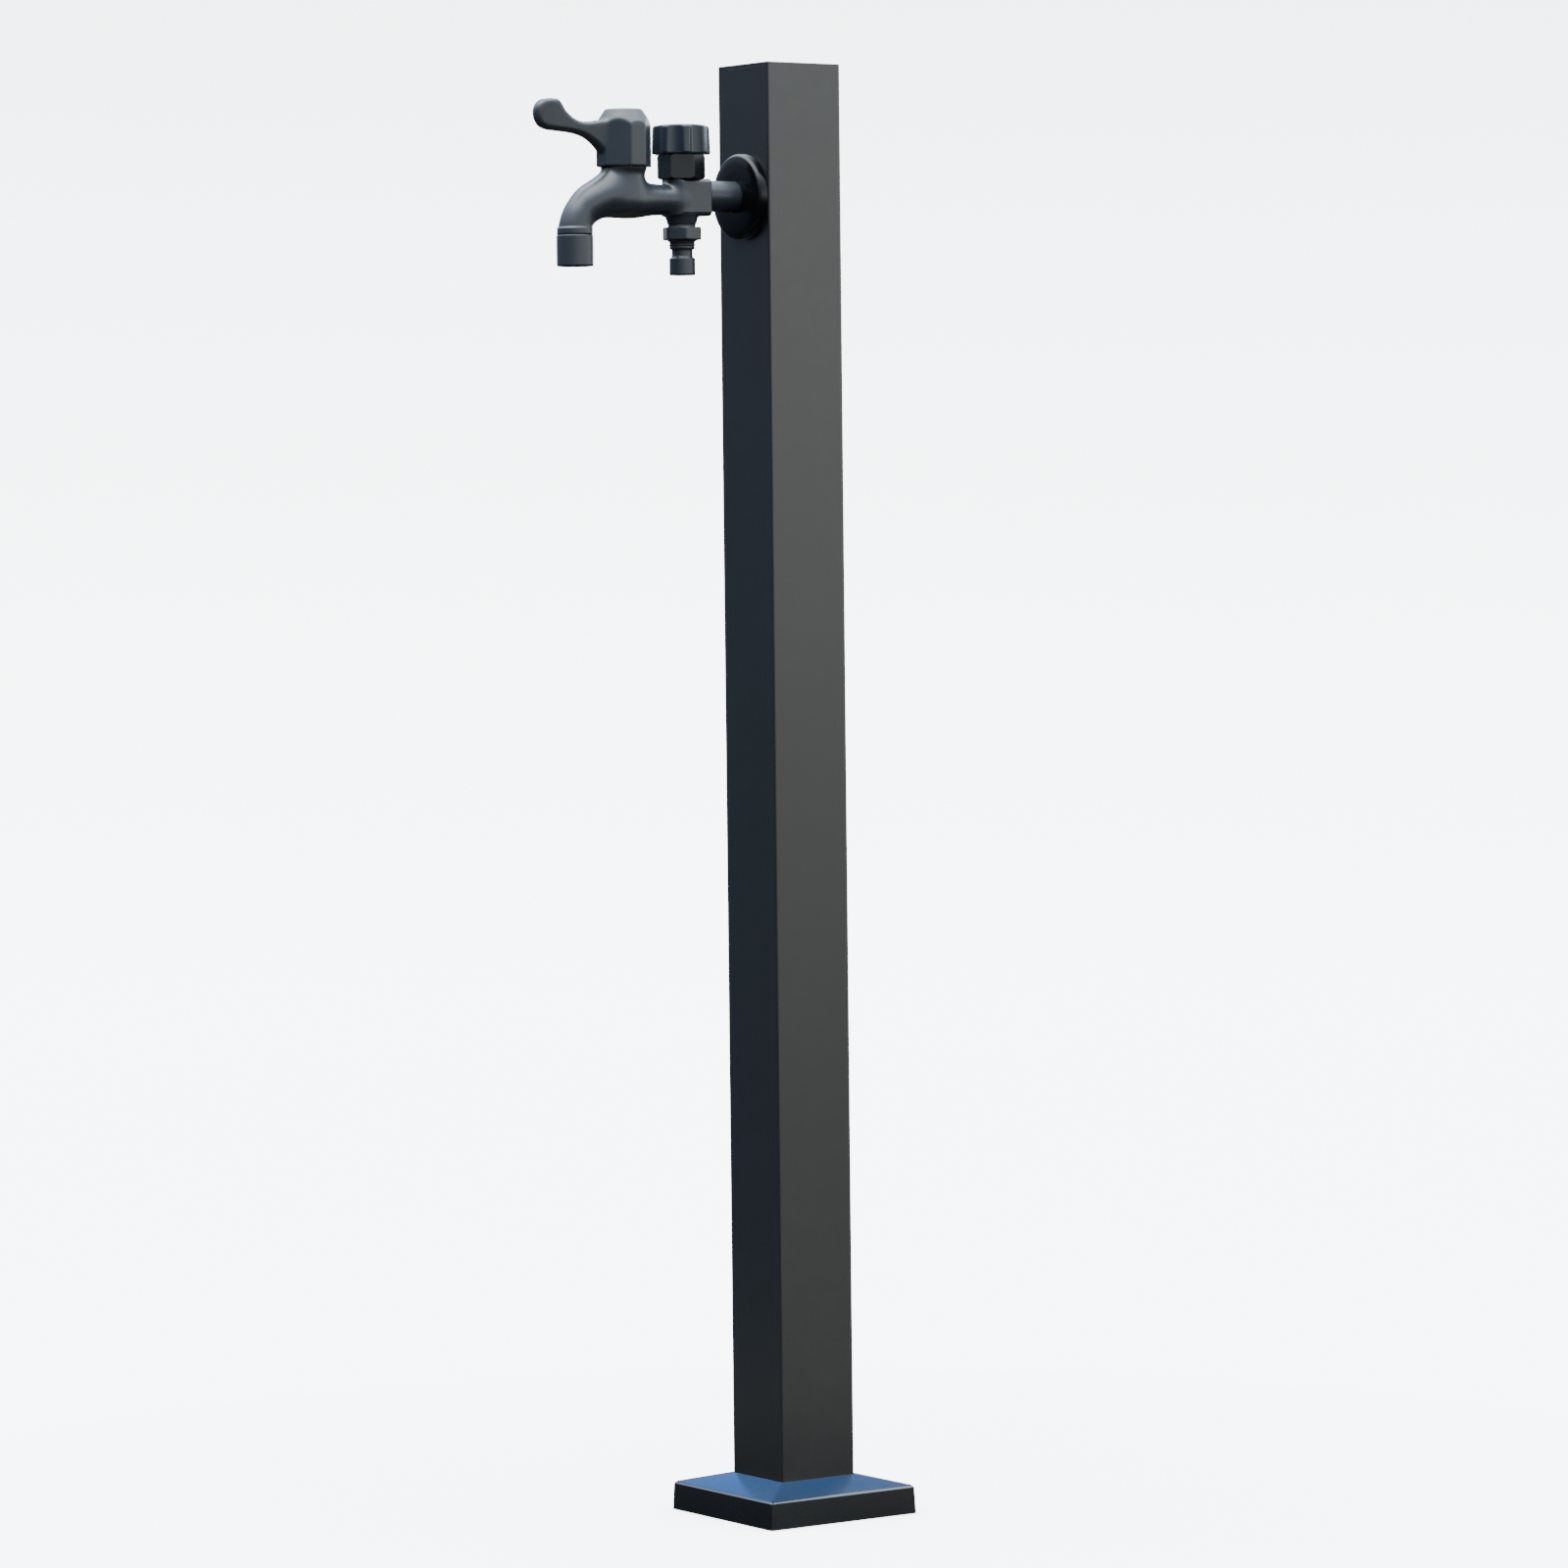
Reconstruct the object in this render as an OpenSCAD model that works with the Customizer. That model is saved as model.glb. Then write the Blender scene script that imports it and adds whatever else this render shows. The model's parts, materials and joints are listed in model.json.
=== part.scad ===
// Garden standpipe: a square post on a floor plate, with a double-outlet tap near its top.
// The origin is on the ground at the post's axis. The tap points to -Y, and +Z is up.
// Reach is a distance forward of the post's axis, and height is above the ground.

/* [Post] */
// Outside width of the square post
post_w = 60; // [54:1:70]
// Height of the whole post with its cap
post_h = 992; // [960:1:1200]
// Wall of the post
post_wall = 2; // [1.5:0.1:3]
// Outside corner radius of the post
post_corner_r = 1.5; // [0.8:0.1:1.9]
// Thickness of the top cap's plate
cap_t = 2.5; // [1.5:0.1:4]
// Depth of the top cap's plug inside the post
cap_plug_depth = 18; // [10:1:24]

/* [Base] */
// Width of the square floor plate
plate_w = 100; // [94:1:108]
// Thickness of the floor plate
plate_t = 5; // [3:0.5:8]
// Distance from the plate's edge to each anchor hole's centre
anchor_edge = 12; // [9:0.5:14]
// Diameter of each anchor hole
anchor_d = 10; // [7:0.5:12]
// Diameter of the hole that the supply comes up through
supply_hole_d = 40; // [34:1:44]
// How far the loose cover stands out past the plate on each side
cover_margin = 10; // [7:0.5:20]
// Height of the cover's vertical wall
cover_wall_h = 19.4; // [16:0.2:24]
// Height of the cover where it meets the post
cover_top_h = 26.2; // [25:0.2:34]
// Thickness of the cover
cover_t = 1.8; // [1.2:0.1:2.5]

/* [Tap place] */
// Depth of the tap's inlet axis below the top of the post
tap_drop = 90; // [88:1:120]
// Reach of the side valve's axis
side_reach = 81; // [78:0.5:90]
// Room between the side valve's knob and the lever's hub
valve_room = 7.8; // [5:0.1:14]
// Distance from the lever valve's axis to the spout's vertical end
spout_run = 39.7; // [38:0.1:48]

/* [Tap casting] */
// Diameter over the half-inch pipe thread
pipe_thread_d = 20.96; // [20.7:0.02:21]
// Bore of the inlet tail
tail_bore_d = 14; // [12:0.5:15]
// Half width between the wrench flats
flat_half_w = 12; // [11.6:0.1:12.6]
// Height of the wrench flats
flat_h = 22.5; // [21:0.5:24]
// Radius of the side valve's upright barrel
tee_r = 13.2; // [12.8:0.1:13.8]
// Radius of the body's waist between the valves
waist_r = 10.3; // [9.8:0.1:11]
// Radius of the spout
spout_r = 11.5; // [11.4:0.1:13]
// Bend radius of the spout's centre line
spout_bend_r = 25; // [24:0.5:27]
// Radius of the neck under the lever
neck_r = 14; // [13.6:0.1:14.3]

/* [Lever] */
// Half width over the hub's four narrow flats
hub_narrow_half = 18.5; // [18:0.1:19.5]
// Half width over the hub's four wide flats
hub_wide_half = 17; // [16.8:0.1:17.8]
// Height of the hub's straight part
hub_h = 31.2; // [28:0.2:34]
// Height of the bevel on the hub's top
hub_bevel_h = 6.6; // [5:0.2:8]
// Length of the lever from the valve's axis to its tip
lever_len = 71; // [66:0.5:80]
// Height of the lever's paddle
paddle_h = 20.6; // [18:0.1:25]
// Thickness of the lever's paddle
paddle_t = 9; // [7:0.5:11]

/* [Side valve] */
// Width of the bonnet's hexagon over its flats
bonnet_af = 28; // [26:0.5:29]
// Height of the bonnet's hexagon
bonnet_h = 16.4; // [15:0.2:18]
// Diameter of the knob
knob_d = 40; // [36:0.5:40]
// Height of the knob
knob_h = 20.1; // [19.5:0.2:22]
// Number of grip flutes round the knob
knob_flutes = 8; // [6:1:10]
// Lift of the valve washer when fully open
washer_lift = 3; // [2:0.1:3]

/* [Outlets] */
// Diameter of the hose nipple's end
nipple_d = 17.5; // [17.2:0.1:18]
// Length of the hose nipple below its collar
nipple_len = 26.7; // [26:0.1:32]
// Width of the nipple's collar over its flats
collar_af = 24; // [22:0.5:25]
// Diameter of the spout's nozzle
nozzle_d = 24.8; // [24.4:0.1:26]
// Length of the spout's nozzle
nozzle_len = 20.9; // [19:0.1:24]
// Diameter of the round plate against the post
flange_d = 58; // [54:1:60]
// How far the round plate stands off the post
flange_t = 8.5; // [7:0.1:10]

/* [Supply] */
// Outside diameter of the riser pipe
riser_d = 18; // [16:0.5:18]
// Wall of the riser pipe
riser_wall = 1; // [0.8:0.1:1.5]
// Height of the inlet thread's open end
inlet_h = 8; // [7:0.5:16]

/* [Hidden] */
$fn = 64;

// Overrun of every cut past the face that it opens
over = 1;
// Radial gap between two threads or a pipe and its socket
thread_gap = 0.05;
// Radial gap of a turning spindle in its bore
spindle_gap = 0.05;
// Gap between two faces that slide on each other
face_gap = 0.05;
// Gap between the cover and the post, on each side
cover_gap = 0.5;
// Gap between the cap's plug and the post
plug_gap = 0.25;

// Post and cap
tap_h = post_h - tap_drop;
post_in_w = post_w - 2 * post_wall;
post_in_corner_r = 0.8;
cap_plug_w = post_in_w - 2 * plug_gap;
cap_plug_wall = 2;
cap_plug_taper = 3;
tail_hole_d = 22;

// Floor plate
plate_corner_r = 4;
anchor_spacing = plate_w - 2 * anchor_edge;

// Cover
cover_w = plate_w + 2 * cover_margin;
cover_corner_r = 2;
cover_shoulder = 1.6;
cover_foot_flare = 0.7;
cover_hole_w = post_w + 2 * cover_gap;
cover_lip = 1.2;

// Inlet tail and elbow inside the post
pipe_thread_r = pipe_thread_d / 2;
thread_seat_r = pipe_thread_r + thread_gap;
washer_t = 2;
washer_in_r = tail_hole_d / 2;
elbow_face_reach = post_in_w / 2 - washer_t;
elbow_socket_depth = 14;
elbow_boss_r = 15;
elbow_boss_len = 15;
elbow_body_r = 13;
elbow_crown_r = 13.6;
elbow_bore_r = 7;
elbow_drop = 18;
compression_len = 12;
tail_end_reach = elbow_face_reach - elbow_socket_depth + thread_gap;

// Riser and its two compression joints
riser_r = riser_d / 2;
socket_r = riser_r + thread_gap;
socket_depth = 10;
nut_af = 26;
nut_h = 13;
nut_lip = 3.5;
nut_gap = 0.3;
olive_h = 3.5;
olive_r = pipe_thread_r - 0.1 * olive_h;
inlet_thread_len = 12;
inlet_hex_h = 6;
inlet_hex_af = 27;
inlet_bore_r = 7;
elbow_end_h = tap_h - elbow_drop - compression_len;
inlet_top_h = inlet_h + inlet_thread_len + inlet_hex_h + compression_len;

// Waist, spout and neck of the casting
main_reach = side_reach + knob_d / 2 + valve_room + hub_narrow_half;
spout_reach = main_reach + spout_run;
axis_drop = 3;
barrel_h = tap_h - axis_drop;
block_len = 17;
block_back_reach = side_reach - block_len;
block_chamfer = 2.2;
waist_share = 0.39;
waist_reach = side_reach + waist_share * (main_reach - side_reach);
swell_share = 0.82;
swell_reach = side_reach + swell_share * (main_reach - side_reach);
spout_turn_reach = spout_reach - spout_bend_r;
spout_turn_h = barrel_h - spout_bend_r;
neck_rise = 18;
neck_top_h = tap_h + neck_rise;
neck_lip_h = 3;
brow_r = 12.5;
brow_end_r = 11;
brow_rise = 6;
brow_run = 28.7;
brow_end_drop = 7.5;
bowl_r = 16;
bowl_drop = 13;
bowl_base_r = 8;
bowl_rise = 3.5;
spigot_r = 11;
spigot_len = 9;
spout_bore_r = 8;
spout_step = 0.3;
duct_r = spout_bore_r - spout_step;

// Lever valve's chamber, seat and duct
chamber_r = 11;
partition_rise = 1.5;
partition_h = tap_h + partition_rise;
seat_r = 5.5;
seat_feed_drop = 7.5;
seat_feed_h = tap_h - seat_feed_drop;
seat_feed_r = 5;
seat_feed_setback = 6;
seat_feed_start = side_reach + seat_feed_setback;
seat_feed_past = 3.2;
seat_feed_end = main_reach + seat_feed_past;
duct_start_past = 6.7;
duct_start_reach = main_reach + duct_start_past;

// Lever valve's cartridge
seal_t = 2;
seal_gap = 0.5;
seal_out_r = chamber_r - seal_gap;
seal_in_r = 7;
sleeve_r = 9.8;
sleeve_in_r = 8.6;
cartridge_thread_r = chamber_r - thread_gap;
cartridge_thread_len = 5.5;
window_h = 4.6;
window_w = 11;
disc_r = sleeve_in_r - spindle_gap;
disc_t = 3.5;
disc_seat_gap = 0.2;
disc_base_h = partition_h + seal_t + disc_seat_gap;
disc_hole_in_r = 2;
disc_hole_out_r = 6.6;
disc_hole_angle = 76;
foot_t = 2.5;
foot_gap = 0.1;
foot_top_h = disc_base_h + 2 * disc_t + face_gap + foot_t;
cartridge_hex_af = 24;
cartridge_hex_h = 5;
cartridge_boss_r = 8;
cartridge_boss_h = 12;
drive_flat_half = 3.2;
drive_len = 10;
cartridge_top_h = neck_top_h + cartridge_boss_h;
spindle_r = 4;
spindle_bore_r = spindle_r + spindle_gap;
oring_cord_r = 0.5;
groove_r = spindle_r - 2 * oring_cord_r;
groove_h = 1.6;
cartridge_oring_rise = 5;
cartridge_oring_h = neck_top_h + cartridge_oring_rise;
circlip_t = 1;
circlip_out_r = 6;
circlip_groove_r = 3.3;
circlip_gap = 0.2;
circlip_slot = 3;

// Lever handle
hub_gap = 0.9;
hub_base_h = neck_top_h + hub_gap;
hub_top_h = hub_base_h + hub_h + hub_bevel_h;
hub_cavity_r = 14.5;
hub_cavity_h = 14;
hub_top_r = 12.4;
hub_bevel_r = 19.9;
hub_bevel_drop = 5.2;
lever_root = 3;
screw_r = 1.95;
screw_hole_r = 2;
screw_clear_r = 2.15;
screw_head_r = 3.6;
screw_head_h = 2.6;
screw_slot_w = 0.9;
screw_slot_depth = 1.2;
screw_len = 9;
web_t = 2.4;
head_gap = 0.05;
main_spindle_rise = 23;
main_spindle_top_h = hub_base_h + main_spindle_rise;
screw_recess_r = 4.2;
handle_cap_r = 6;
handle_cap_t = 3;
cap_seat_gap = 0.1;
cap_dome = 0.8;

// Side valve
side_rise = 11;
side_top_h = tap_h + side_rise;
side_drop = 20;
side_base_h = tap_h - side_drop;
side_cone_h = 7;
side_cone_r = 9.5;
side_cone_top_r = 11.8;
side_chamber_r = 9.5;
side_seat_drop = 9;
side_seat_h = tap_h - side_seat_drop;
side_seat_t = 3.5;
side_seat_r = 5;
nipple_thread_r = 7.5;
bonnet_thread_len = 8.5;
bonnet_hex_hole_af = 13.4;
jumper_af = 13;
jumper_foot_r = 7.4;
jumper_foot_t = 2;
side_washer_t = 3;
side_washer_r = 7;
jumper_hole_rise = 2.5;
jumper_spare = 0.5;
shoulder_r = 6.5;
shoulder_t = 1.9;
side_oring_rise = 6;
side_oring_h = side_top_h + side_oring_rise;
side_shoulder_h = side_top_h - face_gap - shoulder_t;
jumper_low_h = side_seat_h + face_gap + side_washer_t;
jumper_top_h = side_shoulder_h - washer_lift - jumper_spare;
side_spindle_tip_h = jumper_low_h + jumper_hole_rise + washer_lift + jumper_spare;
bonnet_chamfer = 1.2;

// Knob on the side valve
knob_gap = 0.4;
knob_base_h = side_top_h + bonnet_h + knob_gap;
knob_top_h = knob_base_h + knob_h;
knob_flare = 0.8;
knob_shoulder = 2.2;
knob_dome = 1.6;
flute_r = 7.5;
flute_depth = 1.5;
knob_cavity_r = 10;
knob_cavity_h = 3;
knob_spindle_rise = 9;
knob_spindle_top_h = knob_base_h + knob_spindle_rise;
knob_cap_r = 6.5;
knob_cap_t = 2.6;

// Hose nipple, counted down from the casting's lower face
nipple_gasket_t = 1.5;
nipple_gasket_r = 9.3;
collar_h = 5.5;
collar_cone_h = 3.5;
collar_cone_r = 10.5;
nipple_neck_r = 8.5;
nipple_groove_r = 7;
nipple_groove_h = 6;
nipple_end_h = 11.5;
nipple_edge = 0.8;
nipple_bore_r = 5;
nipple_thread_len = 7;
nipple_oring_r = 0.9;
nipple_oring_proud = 0.25;

// Nozzle
nozzle_gap = 0.1;
nozzle_edge = 0.6;
nozzle_shoulder_t = 2;
nozzle_gasket_t = 2;
nozzle_gasket_in_r = 8.2;
nozzle_web_r = 9;
straightener_r = 10.6;
straightener_t = 6;
straightener_hole_r = 1.1;
straightener_pitch = 3.2;
straightener_rings = 2;

// Places along the paddle from the hub to the tip, as shares of that length
lever_place_shares = [0, 0.08, 0.17, 0.27, 0.38, 0.5, 0.61, 0.71, 0.8, 0.88, 0.94, 0.98, 1];
// Height of the section at each place, as shares of the paddle's height
lever_height_shares = [1.12, 0.9, 0.71, 0.54, 0.49, 0.57, 0.79, 0.99, 1, 0.95, 0.78, 0.52, 0.2];
// Thickness at each place, as shares of the paddle's thickness
lever_thick_shares = [1.5, 1.25, 1.08, 0.96, 0.92, 0.95, 0.98, 1, 1, 0.94, 0.8, 0.55, 0.16];
// Height of the section's middle at each place, as shares of the hub's straight height
lever_rise_shares = [0.64, 0.67, 0.69, 0.73, 0.77, 0.85, 0.94, 1.02, 1.03, 1.045, 1.05, 1.055, 1.055];
lever_sides = 20;

// A square with rounded corners, each corner an arc of four steps
module rounded_square(w, r) {
    steps = 4;
    c = w / 2 - r;
    polygon([
        for (q = [0:3], i = [0:steps])
            let (turn = 90 * q, a = turn + 90 * i / steps)
            [c * (cos(turn) - sin(turn)) + r * cos(a), c * (sin(turn) + cos(turn)) + r * sin(a)]
    ]);
}

// An upright slab of a rounded square
module slab(w, r, low, high) {
    translate([0, 0, low]) linear_extrude(high - low) rounded_square(w, r);
}

// An upright cylinder between two heights
module post_rod(r, low, high) {
    translate([0, 0, low]) cylinder(r = r, h = high - low);
}

// A cylinder that runs forward between two reaches at one height
module forward_rod(r, from, to, height) {
    translate([0, -from, height]) rotate([90, 0, 0]) cylinder(r = r, h = to - from);
}

// An upright hexagon between two heights, measured over its flats
module hex_rod(af, low, high) {
    translate([0, 0, low]) cylinder(d = af / cos(30), h = high - low, $fn = 6);
}

// A hexagon whose corners are chamfered top and bottom
module chamfered_hex(af, low, high, edge) {
    corner = af / cos(30) / 2;
    intersection() {
        hex_rod(af, low, high);
        rotate_extrude()
            polygon([
                [0, low], [corner - edge, low], [corner, low + edge],
                [corner, high - edge], [corner - edge, high], [0, high]
            ]);
    }
}

// A ring of round cord
module round_ring(mid_r, cord_r, height) {
    translate([0, 0, height]) rotate_extrude() translate([mid_r, 0]) circle(r = cord_r, $fn = 24);
}

module at_side() { translate([0, -side_reach, 0]) children(); }
module at_main() { translate([0, -main_reach, 0]) children(); }
module at_spout() { translate([0, -spout_reach, 0]) children(); }

// Post, cap and base

module post_tube() {
    color([0.12, 0.13, 0.14])
    difference() {
        slab(post_w, post_corner_r, plate_t, post_h - cap_t);
        slab(post_in_w, post_in_corner_r, plate_t - over, post_h);
        forward_rod(tail_hole_d / 2, post_in_w / 2 - over, post_w / 2 + over, tap_h);
    }
}

// The cap's plate closes the tube, and its hollow plug holds it
module top_cap() {
    plug_top = post_h - cap_t;
    plug_low = plug_top - cap_plug_depth;
    color([0.1, 0.1, 0.11]) {
        slab(post_w, post_corner_r, plug_top, post_h);
        difference() {
            union() {
                slab(cap_plug_w, post_in_corner_r, plug_low + cap_plug_taper, plug_top);
                slab(cap_plug_w - cap_plug_wall, post_in_corner_r, plug_low, plug_low + cap_plug_taper);
            }
            slab(cap_plug_w - 2 * cap_plug_wall, post_in_corner_r, plug_low - over, plug_top);
        }
        for (turn = [0, 90])
            rotate([0, 0, turn])
                translate([0, 0, plug_low + cap_plug_taper])
                linear_extrude(cap_plug_depth - cap_plug_taper)
                square([cap_plug_w - cap_plug_wall, cap_plug_wall], center = true);
    }
}

module base_plate() {
    color([0.12, 0.13, 0.14])
    difference() {
        slab(plate_w, plate_corner_r, 0, plate_t);
        post_rod(supply_hole_d / 2, -over, plate_t + over);
        for (x = [-1, 1], y = [-1, 1])
            translate([x * anchor_spacing / 2, y * anchor_spacing / 2, 0])
                post_rod(anchor_d / 2, -over, plate_t + over);
    }
}

// One level of the cover's outline, as a thin slab for the hull
module cover_level(w, r, height) {
    skin = 0.01 * cover_t;
    slab(w, r, height - skin, height);
}

// The cover's outside, or its inside when inset by the cover's thickness
module cover_form(inset, low) {
    hull() {
        cover_level(cover_w + 2 * cover_foot_flare - 2 * inset, cover_corner_r, low);
        cover_level(cover_w - 2 * inset, cover_corner_r, cover_wall_h - cover_shoulder - inset / 2);
        cover_level(cover_w - 2 * cover_shoulder - 2 * inset, cover_corner_r, cover_wall_h - inset);
        cover_level(cover_hole_w + 2 * cover_lip, cover_corner_r, cover_top_h - inset);
    }
}

module base_cover() {
    color([0.1, 0.11, 0.12])
    difference() {
        cover_form(0, 0.01 * cover_t);
        cover_form(cover_t, -over);
        slab(cover_hole_w, post_corner_r, -over, cover_top_h + over);
    }
}

// Supply inside the post

module elbow_washer() {
    color([0.06, 0.06, 0.06])
    difference() {
        forward_rod(elbow_boss_r, elbow_face_reach, post_in_w / 2, tap_h);
        forward_rod(washer_in_r, elbow_face_reach - over, post_in_w / 2 + over, tap_h);
    }
}

// A female elbow: the tap's tail screws in from the front and the riser joins below
module wall_elbow() {
    boss_back = elbow_face_reach - elbow_boss_len;
    color([0.72, 0.58, 0.3])
    difference() {
        union() {
            forward_rod(elbow_boss_r, boss_back, elbow_face_reach, tap_h);
            forward_rod(elbow_body_r, 0, boss_back + over, tap_h);
            translate([0, 0, tap_h]) sphere(r = elbow_crown_r);
            post_rod(elbow_body_r, tap_h - elbow_drop, tap_h);
            post_rod(pipe_thread_r, elbow_end_h, tap_h - elbow_drop + over);
        }
        forward_rod(thread_seat_r, elbow_face_reach - elbow_socket_depth, elbow_face_reach + over, tap_h);
        forward_rod(elbow_bore_r, 0, elbow_face_reach, tap_h);
        post_rod(elbow_bore_r, elbow_end_h - over, tap_h);
        post_rod(socket_r, elbow_end_h - over, elbow_end_h + socket_depth);
    }
}

// One compression nut, its lip down and its thread up
module compression_nut(thread_end) {
    thread_low = thread_end - olive_h;
    low = thread_low - nut_lip;
    difference() {
        chamfered_hex(nut_af, low, low + nut_h, nut_gap * 4);
        post_rod(thread_seat_r, thread_low, low + nut_h + over);
        post_rod(socket_r, low - over, low + nut_h);
    }
}

module olive(thread_end) {
    difference() {
        post_rod(olive_r, thread_end - olive_h, thread_end);
        post_rod(socket_r, thread_end - olive_h - over, thread_end + over);
    }
}

// The joint under the elbow, and the same joint upside down on the inlet connector
module both_joints() {
    children(0);
    translate([0, 0, inlet_top_h]) mirror([0, 0, 1]) translate([0, 0, -elbow_end_h]) children(0);
}

module compression_nuts() {
    color([0.75, 0.62, 0.34]) both_joints() compression_nut(elbow_end_h);
}

module compression_olives() {
    color([0.8, 0.66, 0.4]) both_joints() olive(elbow_end_h);
}

module riser_pipe() {
    color([0.7, 0.71, 0.72])
    difference() {
        post_rod(riser_r, inlet_top_h - socket_depth, elbow_end_h + socket_depth);
        post_rod(riser_r - riser_wall, 0, tap_h);
    }
}

module inlet_connector() {
    hex_low = inlet_h + inlet_thread_len;
    color([0.72, 0.58, 0.3])
    difference() {
        union() {
            post_rod(pipe_thread_r, inlet_h, inlet_top_h);
            chamfered_hex(inlet_hex_af, hex_low, hex_low + inlet_hex_h, nut_gap * 3);
        }
        post_rod(inlet_bore_r, inlet_h - over, inlet_top_h);
        post_rod(socket_r, inlet_top_h - socket_depth, inlet_top_h + over);
    }
}

// Tap casting

// A smooth rise from 0 to 1
function ease(t) = (1 - cos(180 * t)) / 2;

// Outline of the waisted barrel between the valves, as radius and reach
function barrel_outline() = let (steps = 8) concat(
    [[0, side_reach], [side_cone_top_r, side_reach]],
    [for (i = [1:steps]) let (t = i / steps)
        [side_cone_top_r + (waist_r - side_cone_top_r) * ease(t),
         side_reach + (waist_reach - side_reach) * t]],
    [for (i = [1:steps]) let (t = i / steps)
        [waist_r + (spout_r + spout_step - waist_r) * ease(t),
         waist_reach + (swell_reach - waist_reach) * t]],
    [
        [spout_r + spout_step, spout_turn_reach],
        [spout_r - spout_step, spout_turn_reach + 2 * spout_step],
        [0, spout_turn_reach + 2 * spout_step]
    ]
);

// Outline of the valve chamber, a round bowl that flows up into the neck
function chamber_outline() = let (steps = 8, wide_h = barrel_h - bowl_drop + bowl_r - bowl_rise)
    concat(
        [[0, barrel_h - bowl_drop]],
        [for (i = [0:steps]) let (a = 90 * i / steps)
            [bowl_base_r + (bowl_r - bowl_base_r) * sin(a),
             wide_h - (wide_h - barrel_h + bowl_drop) * cos(a)]],
        [for (i = [1:steps]) let (t = i / steps)
            [bowl_r + (neck_r - bowl_r) * ease(t),
             wide_h + (neck_top_h - neck_lip_h - wide_h) * t]],
        [[neck_r, neck_top_h], [0, neck_top_h]]
    );

// A rod that runs forward and downhill between two places, with a radius at each end
module slanted_rod(r, end_r, from, from_h, to, to_h) {
    run = to - from;
    fall = from_h - to_h;
    translate([0, -from, from_h])
        rotate([90 + atan2(fall, run), 0, 0])
        cylinder(r1 = r, r2 = end_r, h = sqrt(run * run + fall * fall));
}

// The brow that carries the neck's front down into the spout
module brow() {
    slanted_rod(brow_r, brow_end_r, main_reach, tap_h + brow_rise, main_reach + brow_run, tap_h - brow_end_drop);
}

// A quarter ring that turns from forward to straight down
module spout_bend(r) {
    translate([0, -spout_turn_reach, spout_turn_h])
        rotate([180, -90, 0])
        rotate_extrude(angle = 90)
        translate([spout_bend_r, 0])
        circle(r = r);
}

// The side valve's barrel and wrench block, cut to the two wrench flats
module wrench_block() {
    low = tap_h - flat_h / 2;
    intersection() {
        union() {
            at_side() post_rod(tee_r, low, side_top_h);
            translate([-tee_r, -side_reach, low])
                cube([2 * tee_r, side_reach - block_back_reach, side_top_h - low]);
        }
        translate([0, -block_back_reach, 0])
            rotate([90, 0, 0])
            linear_extrude(side_reach + tee_r)
            polygon([
                [-flat_half_w, low + block_chamfer], [block_chamfer - flat_half_w, low],
                [flat_half_w - block_chamfer, low], [flat_half_w, low + block_chamfer],
                [flat_half_w, side_top_h - block_chamfer], [flat_half_w - block_chamfer, side_top_h],
                [block_chamfer - flat_half_w, side_top_h], [-flat_half_w, side_top_h - block_chamfer]
            ]);
    }
}

// The lower outlet's cone under the side valve
module side_cone() {
    at_side() rotate_extrude()
        polygon([
            [0, side_base_h], [side_cone_r, side_base_h],
            [side_cone_top_r, side_base_h + side_cone_h],
            [side_cone_top_r, side_base_h + side_cone_h + bowl_rise], [0, side_seat_h]
        ]);
}

// Every waterway and thread seat inside the casting
module tap_waterways() {
    spigot_low = spout_turn_h - spigot_len;
    forward_rod(tail_bore_d / 2, tail_end_reach - over, side_reach, tap_h);
    at_side() {
        post_rod(side_chamber_r, side_seat_h, side_top_h + over);
        post_rod(side_seat_r, side_base_h, side_top_h);
        post_rod(nipple_thread_r, side_base_h - over, side_seat_h - side_seat_t);
    }
    slanted_rod(seat_feed_r, seat_feed_r, seat_feed_start, barrel_h, seat_feed_end, seat_feed_h);
    at_main() {
        post_rod(seat_r, seat_feed_h, partition_h + over);
        post_rod(chamber_r, partition_h, neck_top_h + over);
    }
    forward_rod(duct_r, duct_start_reach, spout_turn_reach + over, barrel_h);
    spout_bend(spout_bore_r);
    at_spout() post_rod(duct_r, spigot_low - over, spout_turn_h + over);
}

module tap_body() {
    color([0.25, 0.28, 0.31])
    difference() {
        union() {
            forward_rod(pipe_thread_r, tail_end_reach, block_back_reach + over, tap_h);
            wrench_block();
            side_cone();
            translate([0, 0, barrel_h]) rotate([90, 0, 0]) rotate_extrude() polygon(barrel_outline());
            at_main() rotate_extrude() polygon(chamber_outline());
            brow();
            spout_bend(spout_r);
            at_spout() post_rod(spigot_r, spout_turn_h - spigot_len, spout_turn_h + over);
        }
        tap_waterways();
    }
}

// The domed plate that hides the hole in the post, with a bevelled rim
module wall_flange() {
    rim = flange_d / 2;
    back = post_w / 2;
    rim_t = 0.58 * flange_t;
    color([0.08, 0.08, 0.09])
    translate([0, -back, tap_h]) rotate([90, 0, 0])
    difference() {
        rotate_extrude()
            polygon([
                [0, 0], [rim, 0], [rim, rim_t], [0.95 * rim, 0.8 * flange_t],
                [0.8 * rim, 0.92 * flange_t], [0.55 * rim, flange_t], [0, flange_t]
            ]);
        post_rod(thread_seat_r, -over, flange_t + over);
    }
}

// Lever valve's cartridge

module seat_seal() {
    color([0.06, 0.06, 0.06]) at_main()
    difference() {
        post_rod(seal_out_r, partition_h, partition_h + seal_t);
        post_rod(seal_in_r, partition_h - over, partition_h + seal_t + over);
    }
}

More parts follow.
